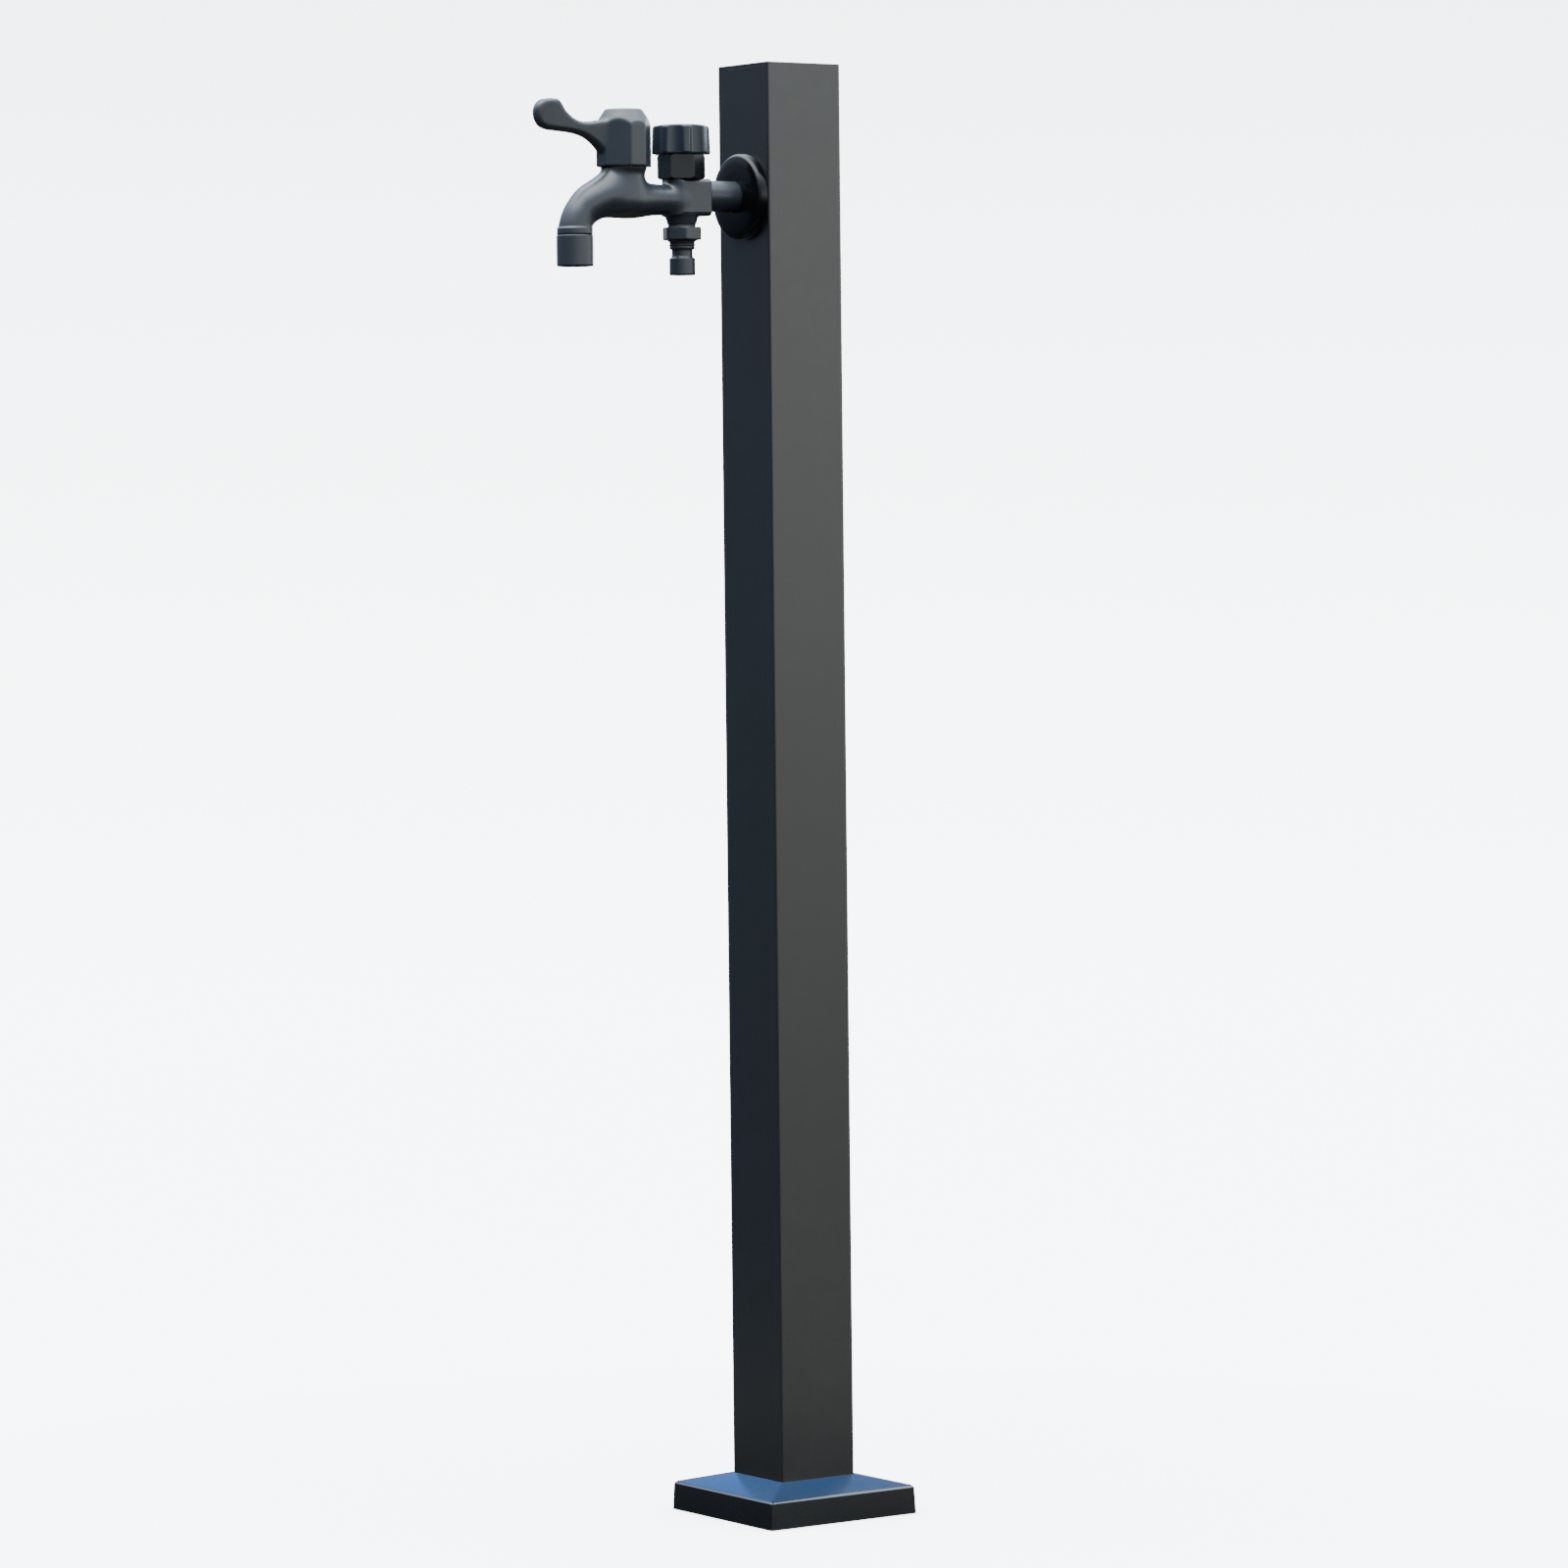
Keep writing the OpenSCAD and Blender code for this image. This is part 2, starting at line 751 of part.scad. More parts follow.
module cartridge_body() {
    low = partition_h + seal_t;
    thread_low = neck_top_h - cartridge_thread_len;
    color([0.75, 0.62, 0.34]) at_main()
    difference() {
        union() {
            post_rod(sleeve_r, low, thread_low + over);
            post_rod(cartridge_thread_r, thread_low, neck_top_h);
            chamfered_hex(cartridge_hex_af, neck_top_h, neck_top_h + cartridge_hex_h, nut_gap * 3);
            post_rod(cartridge_boss_r, neck_top_h, cartridge_top_h);
        }
        post_rod(sleeve_in_r, low - over, foot_top_h + foot_gap);
        post_rod(spindle_bore_r, low, cartridge_top_h + over);
        translate([-chamber_r, -window_w / 2, thread_low - window_h])
            cube([2 * chamber_r, window_w, window_h]);
    }
}

// A ceramic disc with two opposite ports
module ported_disc(low, turn) {
    difference() {
        post_rod(disc_r, low, low + disc_t);
        for (side = [0, 180])
            translate([0, 0, low - over])
                rotate([0, 0, turn + side - disc_hole_angle / 2])
                rotate_extrude(angle = disc_hole_angle)
                translate([disc_hole_in_r, 0])
                square([disc_hole_out_r - disc_hole_in_r, disc_t + 2 * over]);
    }
}

module fixed_disc() {
    color([0.92, 0.92, 0.9]) at_main() ported_disc(disc_base_h, 90);
}

module moving_disc() {
    color([0.85, 0.87, 0.9]) at_main() ported_disc(disc_base_h + disc_t + face_gap, 0);
}

// What is left of a spindle's top between its two drive flats
module drive_flats(low, high, gap) {
    half = drive_flat_half + gap;
    translate([-half, -spindle_r - over, low]) cube([2 * half, 2 * (spindle_r + over), high - low]);
}

// A spindle with its flatted drive end and the tapped hole for its screw
module spindle_shaft(low, high) {
    difference() {
        union() {
            post_rod(spindle_r, low, high - drive_len);
            intersection() {
                post_rod(spindle_r, high - drive_len, high);
                drive_flats(high - drive_len, high, 0);
            }
        }
        post_rod(screw_hole_r, high - screw_len, high + over);
    }
}

// A square-sided groove turned round a spindle
module spindle_groove(bottom_r, mid_h, height) {
    difference() {
        post_rod(spindle_r + over, mid_h - height / 2, mid_h + height / 2);
        post_rod(bottom_r, mid_h - height, mid_h + height);
    }
}

module cartridge_spindle() {
    color([0.72, 0.6, 0.35]) at_main()
    difference() {
        union() {
            post_rod(disc_r, foot_top_h - foot_t, foot_top_h);
            spindle_shaft(foot_top_h - foot_t, main_spindle_top_h);
        }
        spindle_groove(groove_r, cartridge_oring_h, groove_h);
        spindle_groove(circlip_groove_r, cartridge_top_h + circlip_gap + circlip_t / 2, circlip_t);
    }
}

module cartridge_oring() {
    color([0.05, 0.05, 0.05]) at_main() round_ring(groove_r + oring_cord_r, oring_cord_r, cartridge_oring_h);
}

// A spring clip with an open slot, above the cartridge's boss
module spindle_circlip() {
    low = cartridge_top_h + circlip_gap;
    color([0.6, 0.61, 0.62]) at_main()
    difference() {
        post_rod(circlip_out_r, low, low + circlip_t);
        post_rod(circlip_groove_r, low - over, low + circlip_t + over);
        translate([-circlip_slot / 2, 0, low - over])
            cube([circlip_slot, circlip_out_r + over, circlip_t + 2 * over]);
    }
}

// Lever handle

// Outline of the hub, eight flats of two widths
function hub_outline() = let (n = hub_narrow_half, v = hub_wide_half * sqrt(2) - hub_narrow_half)
    [[n, v], [v, n], [-v, n], [-n, v], [-n, -v], [-v, -n], [v, -n], [n, -v]];

// One oval section of the lever, at a place along it
function lever_section(i) = let (
        root = hub_narrow_half - lever_root,
        reach = main_reach + root + lever_place_shares[i] * (lever_len - root),
        mid = hub_base_h + lever_rise_shares[i] * hub_h,
        half_h = paddle_h * lever_height_shares[i] / 2,
        half_t = paddle_t * lever_thick_shares[i] / 2
    )
    [for (s = [0:lever_sides - 1]) let (a = 360 * s / lever_sides)
        [half_t * cos(a), -reach, mid + half_h * sin(a)]];

// A skin over a row of sections that all have the same number of points
module loft(sections) {
    n = len(sections[0]);
    rows = len(sections);
    polyhedron(
        points = [for (section = sections, p = section) p],
        faces = concat(
            [[for (s = [0:n - 1]) s]],
            [for (r = [0:rows - 2], s = [0:n - 1]) let (t = (s + 1) % n)
                [r * n + s, (r + 1) * n + s, (r + 1) * n + t]],
            [for (r = [0:rows - 2], s = [0:n - 1]) let (t = (s + 1) % n)
                [r * n + s, (r + 1) * n + t, r * n + t]],
            [[for (s = [n - 1:-1:0]) (rows - 1) * n + s]]
        ),
        convexity = 4
    );
}

module lever_handle() {
    spindle_top = main_spindle_top_h;
    cavity_top = hub_base_h + hub_cavity_h;
    cap_low = hub_top_h - handle_cap_t;
    bevel_low = hub_base_h + hub_h - hub_bevel_drop;
    color([0.27, 0.3, 0.33])
    difference() {
        union() {
            at_main() intersection() {
                translate([0, 0, hub_base_h]) linear_extrude(hub_h + hub_bevel_h) polygon(hub_outline());
                rotate_extrude()
                    polygon([
                        [0, hub_base_h], [hub_bevel_r, hub_base_h], [hub_bevel_r, bevel_low],
                        [hub_top_r, hub_top_h], [0, hub_top_h]
                    ]);
            }
            loft([for (i = [0:len(lever_place_shares) - 1]) lever_section(i)]);
        }
        at_main() {
            post_rod(hub_cavity_r, hub_base_h - over, cavity_top);
            intersection() {
                post_rod(spindle_bore_r, cavity_top - over, spindle_top + head_gap);
                drive_flats(cavity_top - over, spindle_top + over, spindle_gap);
            }
            post_rod(screw_clear_r, spindle_top, spindle_top + web_t + over);
            post_rod(screw_recess_r, spindle_top + web_t, hub_top_h);
            post_rod(handle_cap_r + cap_seat_gap, cap_low, hub_top_h + over);
        }
    }
}

// A pan-head screw with a cross recess, down through a web into a spindle
module spindle_screw(spindle_top) {
    head_low = spindle_top + web_t + head_gap;
    difference() {
        union() {
            post_rod(screw_head_r, head_low, head_low + screw_head_h);
            post_rod(screw_r, spindle_top - screw_len + over, head_low + head_gap);
        }
        for (turn = [0, 90])
            rotate([0, 0, turn])
                translate([-screw_clear_r, -screw_slot_w / 2, head_low + screw_head_h - screw_slot_depth])
                cube([2 * screw_clear_r, screw_slot_w, screw_slot_depth + over]);
    }
}

// A round cap with a low dome
module domed_cap(r, low, high, dome) {
    rotate_extrude()
        polygon([
            [0, low], [r, low], [r, high - dome],
            [0.8 * r, high - 0.3 * dome], [0.4 * r, high], [0, high]
        ]);
}

module handle_screw() {
    color([0.62, 0.63, 0.64]) at_main() spindle_screw(main_spindle_top_h);
}

module handle_cap() {
    color([0.1, 0.1, 0.11]) at_main()
        domed_cap(handle_cap_r, hub_top_h - handle_cap_t, hub_top_h, cap_dome);
}

// Side valve

module side_bonnet() {
    color([0.07, 0.07, 0.08]) at_side()
    difference() {
        union() {
            post_rod(side_chamber_r - thread_gap, side_top_h - bonnet_thread_len, side_top_h);
            chamfered_hex(bonnet_af, side_top_h, side_top_h + bonnet_h, bonnet_chamfer);
        }
        hex_rod(bonnet_hex_hole_af, side_top_h - bonnet_thread_len - over, side_top_h);
        post_rod(spindle_bore_r, side_top_h - over, side_top_h + bonnet_h + over);
    }
}

module side_spindle() {
    color([0.72, 0.6, 0.35]) at_side()
    difference() {
        union() {
            spindle_shaft(side_spindle_tip_h, knob_spindle_top_h);
            post_rod(shoulder_r, side_shoulder_h, side_shoulder_h + shoulder_t);
        }
        spindle_groove(groove_r, side_oring_h, groove_h);
    }
}

module side_spindle_oring() {
    color([0.05, 0.05, 0.05]) at_side() round_ring(groove_r + oring_cord_r, oring_cord_r, side_oring_h);
}

// The nut that the spindle's thread lifts: its hexagon slides in the bonnet, so it can't turn
module side_jumper() {
    color([0.75, 0.62, 0.34]) at_side()
    difference() {
        union() {
            post_rod(jumper_foot_r, jumper_low_h, jumper_low_h + jumper_foot_t);
            hex_rod(jumper_af, jumper_low_h, jumper_top_h);
        }
        post_rod(spindle_bore_r, jumper_low_h + jumper_hole_rise, jumper_top_h + over);
    }
}

module side_washer() {
    color([0.06, 0.06, 0.06]) at_side()
        post_rod(side_washer_r, jumper_low_h - side_washer_t, jumper_low_h);
}

module side_knob() {
    r = knob_d / 2;
    spindle_top = knob_spindle_top_h;
    color([0.08, 0.08, 0.09]) at_side()
    difference() {
        rotate_extrude()
            polygon([
                [0, knob_base_h], [r - knob_flare, knob_base_h], [r, knob_base_h + knob_flare],
                [r - knob_flare, knob_top_h - knob_shoulder],
                [r - knob_shoulder, knob_top_h - knob_dome], [r / 2, knob_top_h], [0, knob_top_h]
            ]);
        for (i = [0:knob_flutes - 1])
            rotate([0, 0, 360 * i / knob_flutes])
                translate([r + flute_r - flute_depth, 0, 0])
                post_rod(flute_r, knob_base_h - over, knob_top_h + over);
        post_rod(knob_cavity_r, knob_base_h - over, knob_base_h + knob_cavity_h);
        intersection() {
            post_rod(spindle_bore_r, knob_base_h, spindle_top + head_gap);
            drive_flats(knob_base_h, spindle_top + over, spindle_gap);
        }
        post_rod(screw_clear_r, spindle_top, spindle_top + web_t + over);
        post_rod(screw_recess_r, spindle_top + web_t, knob_top_h);
        post_rod(knob_cap_r + cap_seat_gap, knob_top_h - knob_cap_t, knob_top_h + over);
    }
}

module knob_screw() {
    color([0.62, 0.63, 0.64]) at_side() spindle_screw(knob_spindle_top_h);
}

module knob_cap() {
    color([0.1, 0.1, 0.11]) at_side()
        domed_cap(knob_cap_r, knob_top_h - knob_cap_t, knob_top_h, cap_dome);
}

// Lower outlet

module hose_nipple() {
    collar_top = side_base_h - nipple_gasket_t;
    collar_low = collar_top - collar_h;
    end_low = collar_low - nipple_len;
    end_top = end_low + nipple_end_h;
    neck_low = end_top + nipple_groove_h;
    cone_low = collar_low - collar_cone_h;
    oring_h = (neck_low + cone_low) / 2;
    end_r = nipple_d / 2;
    color([0.25, 0.28, 0.31]) at_side()
    difference() {
        union() {
            chamfered_hex(collar_af, collar_low, collar_top, bonnet_chamfer);
            post_rod(nipple_thread_r - thread_gap, collar_top, collar_top + nipple_thread_len);
            rotate_extrude()
                polygon([
                    [0, end_low], [end_r - nipple_edge, end_low], [end_r, end_low + nipple_edge],
                    [end_r, end_top], [nipple_groove_r, end_top], [nipple_groove_r, neck_low],
                    [nipple_neck_r, neck_low], [nipple_neck_r, cone_low],
                    [collar_cone_r, collar_low], [0, collar_low]
                ]);
        }
        post_rod(nipple_bore_r, end_low - over, collar_top + nipple_thread_len + over);
        difference() {
            post_rod(collar_cone_r, oring_h - nipple_oring_r, oring_h + nipple_oring_r);
            post_rod(nipple_neck_r + nipple_oring_proud - 2 * nipple_oring_r,
                oring_h - 2 * nipple_oring_r, oring_h + 2 * nipple_oring_r);
        }
    }
}

module nipple_oring() {
    neck_low = side_base_h - nipple_gasket_t - collar_h - nipple_len + nipple_end_h + nipple_groove_h;
    cone_low = side_base_h - nipple_gasket_t - collar_h - collar_cone_h;
    color([0.05, 0.05, 0.05]) at_side()
        round_ring(nipple_neck_r + nipple_oring_proud - nipple_oring_r, nipple_oring_r,
            (neck_low + cone_low) / 2);
}

module nipple_gasket() {
    low = side_base_h - nipple_gasket_t;
    color([0.05, 0.05, 0.05]) at_side()
    difference() {
        post_rod(nipple_gasket_r, low, side_base_h);
        post_rod(nipple_thread_r + thread_gap, low - over, side_base_h + over);
    }
}

// Spout outlet

module spout_nozzle() {
    top = spout_turn_h - nozzle_gap;
    low = top - nozzle_len;
    shoulder = spout_turn_h - spigot_len - nozzle_gasket_t;
    r = nozzle_d / 2;
    color([0.25, 0.28, 0.31]) at_spout()
    difference() {
        rotate_extrude()
            polygon([
                [0, low], [r - nozzle_edge, low], [r, low + nozzle_edge],
                [r, top - nozzle_edge], [r - nozzle_edge, top], [0, top]
            ]);
        post_rod(spigot_r + thread_gap, shoulder, top + over);
        post_rod(nozzle_web_r, low, top);
        post_rod(straightener_r + thread_gap, low - over, shoulder - nozzle_shoulder_t);
    }
}

module nozzle_gasket() {
    top = spout_turn_h - spigot_len;
    color([0.05, 0.05, 0.05]) at_spout()
    difference() {
        post_rod(spigot_r, top - nozzle_gasket_t, top);
        post_rod(nozzle_gasket_in_r, top - nozzle_gasket_t - over, top + over);
    }
}

// A plastic disc of small holes that calms the stream
module flow_straightener() {
    top = spout_turn_h - spigot_len - nozzle_gasket_t - nozzle_shoulder_t;
    low = top - straightener_t;
    color([0.75, 0.76, 0.77]) at_spout()
    difference() {
        post_rod(straightener_r, low, top);
        post_rod(straightener_hole_r, low - over, top + over);
        for (ring = [1:straightener_rings], i = [0:6 * ring - 1])
            rotate([0, 0, 60 * i / ring])
                translate([straightener_pitch * ring, 0, 0])
                post_rod(straightener_hole_r, low - over, top + over);
    }
}

post_tube();
top_cap();
base_plate();
base_cover();
wall_flange();
elbow_washer();
wall_elbow();
compression_nuts();
compression_olives();
riser_pipe();
inlet_connector();
tap_body();
seat_seal();
cartridge_body();
fixed_disc();
moving_disc();
cartridge_spindle();
cartridge_oring();
spindle_circlip();
lever_handle();
handle_screw();
handle_cap();
side_bonnet();
side_spindle();
side_spindle_oring();
side_jumper();
side_washer();
side_knob();
knob_screw();
knob_cap();
hose_nipple();
nipple_gasket();
nipple_oring();
spout_nozzle();
nozzle_gasket();
flow_straightener();
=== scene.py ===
import json
import math

import bpy
import numpy as np
from mathutils import Matrix, Vector


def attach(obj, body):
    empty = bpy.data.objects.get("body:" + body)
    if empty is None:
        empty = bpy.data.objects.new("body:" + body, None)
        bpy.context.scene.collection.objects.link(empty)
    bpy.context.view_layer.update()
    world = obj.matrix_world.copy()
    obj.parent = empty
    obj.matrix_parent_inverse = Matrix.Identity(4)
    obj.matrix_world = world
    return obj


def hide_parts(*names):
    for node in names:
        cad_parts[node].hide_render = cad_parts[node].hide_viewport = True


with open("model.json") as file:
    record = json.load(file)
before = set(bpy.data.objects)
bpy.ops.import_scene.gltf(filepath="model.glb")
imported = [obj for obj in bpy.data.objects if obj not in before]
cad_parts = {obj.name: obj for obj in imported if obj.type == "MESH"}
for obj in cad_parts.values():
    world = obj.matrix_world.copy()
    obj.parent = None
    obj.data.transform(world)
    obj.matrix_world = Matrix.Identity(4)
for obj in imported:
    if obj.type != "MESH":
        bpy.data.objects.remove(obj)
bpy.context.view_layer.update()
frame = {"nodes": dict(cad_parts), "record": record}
NODES = frame["nodes"]
MM = 0.001

# Camera, fitted to the post's edges in the photograph
CAMERA_AZIMUTH = 55.261
CAMERA_DISTANCE = 4.1613
CAMERA_HEIGHT = 0.6801
CAMERA_YAW = 0.022
CAMERA_PITCH = -2.458
CAMERA_ROLL = -0.614
FOCAL_PIXELS = 6196.6
IMAGE_PIXELS = 1600
SENSOR_WIDTH = 36.0


def add_camera():
    """The photograph's viewpoint: level distance from the post, then yaw, pitch and roll."""
    azimuth = math.radians(CAMERA_AZIMUTH)
    yaw = azimuth + math.radians(CAMERA_YAW)
    pitch = math.radians(CAMERA_PITCH)
    roll = math.radians(CAMERA_ROLL)
    right = Vector((math.cos(yaw), math.sin(yaw), 0))
    ahead = Vector((-math.sin(yaw) * math.cos(pitch), math.cos(yaw) * math.cos(pitch), math.sin(pitch)))
    up = right.cross(ahead)
    rolled_right = math.cos(roll) * right + math.sin(roll) * up
    rolled_up = -math.sin(roll) * right + math.cos(roll) * up
    data = bpy.data.cameras.new("camera")
    data.sensor_width = SENSOR_WIDTH
    data.lens = FOCAL_PIXELS / IMAGE_PIXELS * SENSOR_WIDTH
    data.clip_start = 0.05
    data.clip_end = 100
    camera = bpy.data.objects.new("camera", data)
    place = Vector((math.sin(azimuth) * CAMERA_DISTANCE, -math.cos(azimuth) * CAMERA_DISTANCE, CAMERA_HEIGHT))
    turn = Matrix((rolled_right, rolled_up, -ahead)).transposed()
    camera.matrix_world = Matrix.Translation(place) @ turn.to_4x4()
    bpy.context.scene.collection.objects.link(camera)
    bpy.context.scene.camera = camera


# Light

# Each sky: the height of a direction, from -1 to 1, and the colour seen there
BRIGHT_SIDE = [
    (-1.0, (0.10, 0.11, 0.09)), (-0.3, (0.04, 0.04, 0.03)), (-0.17, (0.24, 0.24, 0.22)),
    (-0.05, (1.4, 1.4, 1.3)), (0.08, (4.1, 4.25, 4.05)), (0.2, (2.6, 2.75, 2.8)),
    (0.4, (1.8, 2.1, 2.5)), (0.6, (3.0, 3.4, 3.9)), (0.82, (10.0, 10.8, 11.8)), (1.0, (13.6, 14.4, 15.2)),
]
DARK_SIDE = [
    (-1.0, (0.08, 0.09, 0.07)), (-0.2, (0.08, 0.11, 0.15)), (0.0, (0.20, 0.26, 0.36)),
    (0.12, (0.32, 0.39, 0.54)), (0.28, (0.6, 0.75, 1.0)), (0.42, (1.7, 2.0, 2.5)), (0.6, (3.0, 3.4, 3.9)),
    (0.82, (10.0, 10.8, 11.8)), (1.0, (13.6, 14.4, 15.2)),
]
BRIGHT_WAY = (0.45, 0.89, 0)  # The direction that the brighter half of the sky lies in
BRIGHT_FADE = (-0.75, 0.75)
BLUE_WAY = (-0.73, 0.49, 0.47)  # The middle of a gap in the clouds
BLUE_FADE = (0.89, 0.96)
BLUE = [(0.38, (0.36, 1.25, 4.0)), (0.56, (0.26, 0.75, 1.8))]


def height_ramp(tree, source, stops, low, high):
    """A colour ramp over one number, with its stops given in the number's own range."""
    level = tree.nodes.new("ShaderNodeMapRange")
    level.inputs["From Min"].default_value = low
    level.inputs["From Max"].default_value = high
    tree.links.new(source, level.inputs["Value"])
    ramp = tree.nodes.new("ShaderNodeValToRGB")
    elements = ramp.color_ramp.elements
    while len(elements) < len(stops):
        elements.new(0.5)
    for element, (at, color) in zip(elements, stops):
        element.position = (at - low) / (high - low)
    for element, (at, color) in zip(elements, stops):
        element.color = (*color, 1)
    tree.links.new(level.outputs[0], ramp.inputs["Fac"])
    return ramp.outputs["Color"]


def blend_toward(tree, place, way, fade, away, toward):
    """A colour that changes smoothly from one to another as the direction nears a given way."""
    nearness = tree.nodes.new("ShaderNodeVectorMath")
    nearness.operation = "DOT_PRODUCT"
    nearness.inputs[1].default_value = way
    tree.links.new(place, nearness.inputs[0])
    share = tree.nodes.new("ShaderNodeMapRange")
    share.interpolation_type = "SMOOTHSTEP"
    share.inputs["From Min"].default_value, share.inputs["From Max"].default_value = fade
    tree.links.new(nearness.outputs["Value"], share.inputs["Value"])
    mix = tree.nodes.new("ShaderNodeMix")
    mix.data_type = "RGBA"
    tree.links.new(share.outputs[0], mix.inputs["Factor"])
    tree.links.new(away, mix.inputs["A"])
    tree.links.new(toward, mix.inputs["B"])
    return mix.outputs["Result"]


def add_world():
    """An overcast garden sky: bright overhead, blue above the trees, and darker on one side."""
    world = bpy.data.worlds.new("sky")
    bpy.context.scene.world = world
    world.use_nodes = True
    tree = world.node_tree
    place = tree.nodes.new("ShaderNodeTexCoord").outputs["Generated"]
    split = tree.nodes.new("ShaderNodeSeparateXYZ")
    tree.links.new(place, split.inputs[0])
    height = split.outputs["Z"]
    dark, bright = (height_ramp(tree, height, stops, -1, 1) for stops in (DARK_SIDE, BRIGHT_SIDE))
    clouds = blend_toward(tree, place, BRIGHT_WAY, BRIGHT_FADE, dark, bright)
    blue = height_ramp(tree, height, BLUE, 0.3, 0.6)
    sky = blend_toward(tree, place, BLUE_WAY, BLUE_FADE, clouds, blue)
    tree.links.new(sky, tree.nodes["Background"].inputs["Color"])


LIGHT_PLACE, LIGHT_TARGET = (0.4, -1.2, 3.2), (0, -0.05, 0.5)
LIGHT_SIDE, LIGHT_POWER, LIGHT_COLOR = 1.6, 30, (0.98, 0.99, 1.0)


def add_light():
    """A soft studio light, high in front of the object."""
    data = bpy.data.lights.new("key", "AREA")
    data.shape = "RECTANGLE"
    data.size = data.size_y = LIGHT_SIDE
    data.energy = LIGHT_POWER
    data.color = LIGHT_COLOR
    light = bpy.data.objects.new("key", data)
    light.location = LIGHT_PLACE
    light.rotation_mode = "QUATERNION"
    light.rotation_quaternion = (Vector(LIGHT_TARGET) - Vector(LIGHT_PLACE)).to_track_quat("-Z", "Y")
    light.visible_camera = False
    bpy.context.scene.collection.objects.link(light)


FLOOR_DROP = 0.0002  # The floor lies this far under the plate


def add_backdrop():
    """A pale floor that curves up into a wall. Only the camera sees it, so the sky still lights the object."""
    reach, bend, top, sides, steps = 3.4, 2.6, 9.0, 96, 16
    turn = 2 * math.pi / sides
    outline = [(0.0, 0.0), (0.6, 0.0), (1.2, 0.0), (2.0, 0.0)]
    for step in range(steps + 1):
        angle = step / steps * math.pi / 2
        outline.append((reach + bend * math.sin(angle), bend - bend * math.cos(angle)))
    outline.append((reach + bend, top))
    verts, faces = [], []
    for r, z in outline:
        verts += [(r * math.cos(k * turn), r * math.sin(k * turn), z) for k in range(sides)]
    for ring in range(len(outline) - 1):
        for k in range(sides):
            a, b = ring * sides + k, ring * sides + (k + 1) % sides
            faces.append((a, b, b + sides, a + sides))
    mesh = bpy.data.meshes.new("backdrop")
    mesh.from_pydata(verts, [], faces)
    mesh.shade_smooth()
    backdrop = bpy.data.objects.new("backdrop", mesh)
    backdrop.location.z = -FLOOR_DROP
    backdrop.visible_glossy = False
    backdrop.visible_diffuse = False
    backdrop.visible_shadow = False
    bpy.context.scene.collection.objects.link(backdrop)
    material = bpy.data.materials.new("backdrop")
    material.use_nodes = True
    shader = material.node_tree.nodes["Principled BSDF"]
    shader.inputs["Base Color"].default_value = (0.86, 0.85, 0.83, 1)
    shader.inputs["Roughness"].default_value = 0.9
    shader.inputs["Emission Color"].default_value = (1, 1, 1, 1)
    shader.inputs["Emission Strength"].default_value = 2.0
    mesh.materials.append(material)


# Painted reflections. In the post's place, by height: a painted blue sky reflection low down, a dark glow in
# the middle that stands for the dark post itself, and a painted highlight band near the top. In the ground's
# place, by distance from the post: a dim glow, darker near the post
POST_PAINTED_REFLECTION = [
    (0.20, (0.20, 0.62, 1.6)), (0.34, (0.05, 0.07, 0.10)),
    (0.928, (0.05, 0.07, 0.10)), (0.945, (4.4, 4.8, 5.3)),
]
GROUND_PAINTED_REFLECTION = [(0.1, (0.06, 0.06, 0.06)), (0.3, (0.16, 0.16, 0.15)), (0.7, (0.42, 0.42, 0.40))]


def painted_reflection(name, verts, faces, source, stops):
    """A form that only gloss sees and that glows with painted reflections. Its glow changes with height, or
    with the distance from the post.
    """
    mesh = bpy.data.meshes.new(name)
    mesh.from_pydata(verts, [], faces)
    form = bpy.data.objects.new(name, mesh)
    for ray in ("camera", "diffuse", "shadow", "transmission", "volume_scatter"):
        setattr(form, "visible_" + ray, False)
    bpy.context.scene.collection.objects.link(form)
    material = bpy.data.materials.new(name)
    material.use_nodes = True
    tree = material.node_tree
    tree.nodes.remove(tree.nodes["Principled BSDF"])
    place = tree.nodes.new("ShaderNodeTexCoord").outputs["Object"]
    if source == "height":
        split = tree.nodes.new("ShaderNodeSeparateXYZ")
        tree.links.new(place, split.inputs[0])
        value = split.outputs["Z"]
    else:
        length = tree.nodes.new("ShaderNodeVectorMath")
        length.operation = "LENGTH"
        tree.links.new(place, length.inputs[0])
        value = length.outputs["Value"]
    glow = tree.nodes.new("ShaderNodeEmission")
    tree.links.new(height_ramp(tree, value, stops, 0, 1), glow.inputs["Color"])
    tree.links.new(glow.outputs[0], tree.nodes["Material Output"].inputs["Surface"])
    mesh.materials.append(material)


def add_painted_reflection():
    """Glowing forms with painted reflections, which the gloss sees in the place of the post and of the ground
    close by, as light as the photo's reflections are.
    """
    half, low, top = 0.029, 0.012, 0.990
    verts = [(x * half, y * half, z) for z in (low, top) for x, y in ((-1, -1), (1, -1), (1, 1), (-1, 1))]
    faces = [(k, (k + 1) % 4, (k + 1) % 4 + 4, k + 4) for k in range(4)]
    painted_reflection("painted_reflection_post", verts, faces, "height", POST_PAINTED_REFLECTION)
    sides, reach = 48, 0.7
    turns = [2 * math.pi * k / sides for k in range(sides)]
    rim = [(reach * math.cos(turn), reach * math.sin(turn), -FLOOR_DROP / 2) for turn in turns]
    painted_reflection("painted_reflection_ground", rim, [tuple(range(sides))], "distance", GROUND_PAINTED_REFLECTION)


# Materials, one for each slot of the record

def new_material(name, color, roughness, metallic=0.0, specular=0.5):
    """A Principled material with the constants on its own sockets."""
    material = bpy.data.materials.new(name)
    material.use_nodes = True
    shader = material.node_tree.nodes["Principled BSDF"]
    shader.inputs["Base Color"].default_value = (*color, 1)
    shader.inputs["Roughness"].default_value = roughness
    shader.inputs["Metallic"].default_value = metallic
    shader.inputs["Specular IOR Level"].default_value = specular
    return material


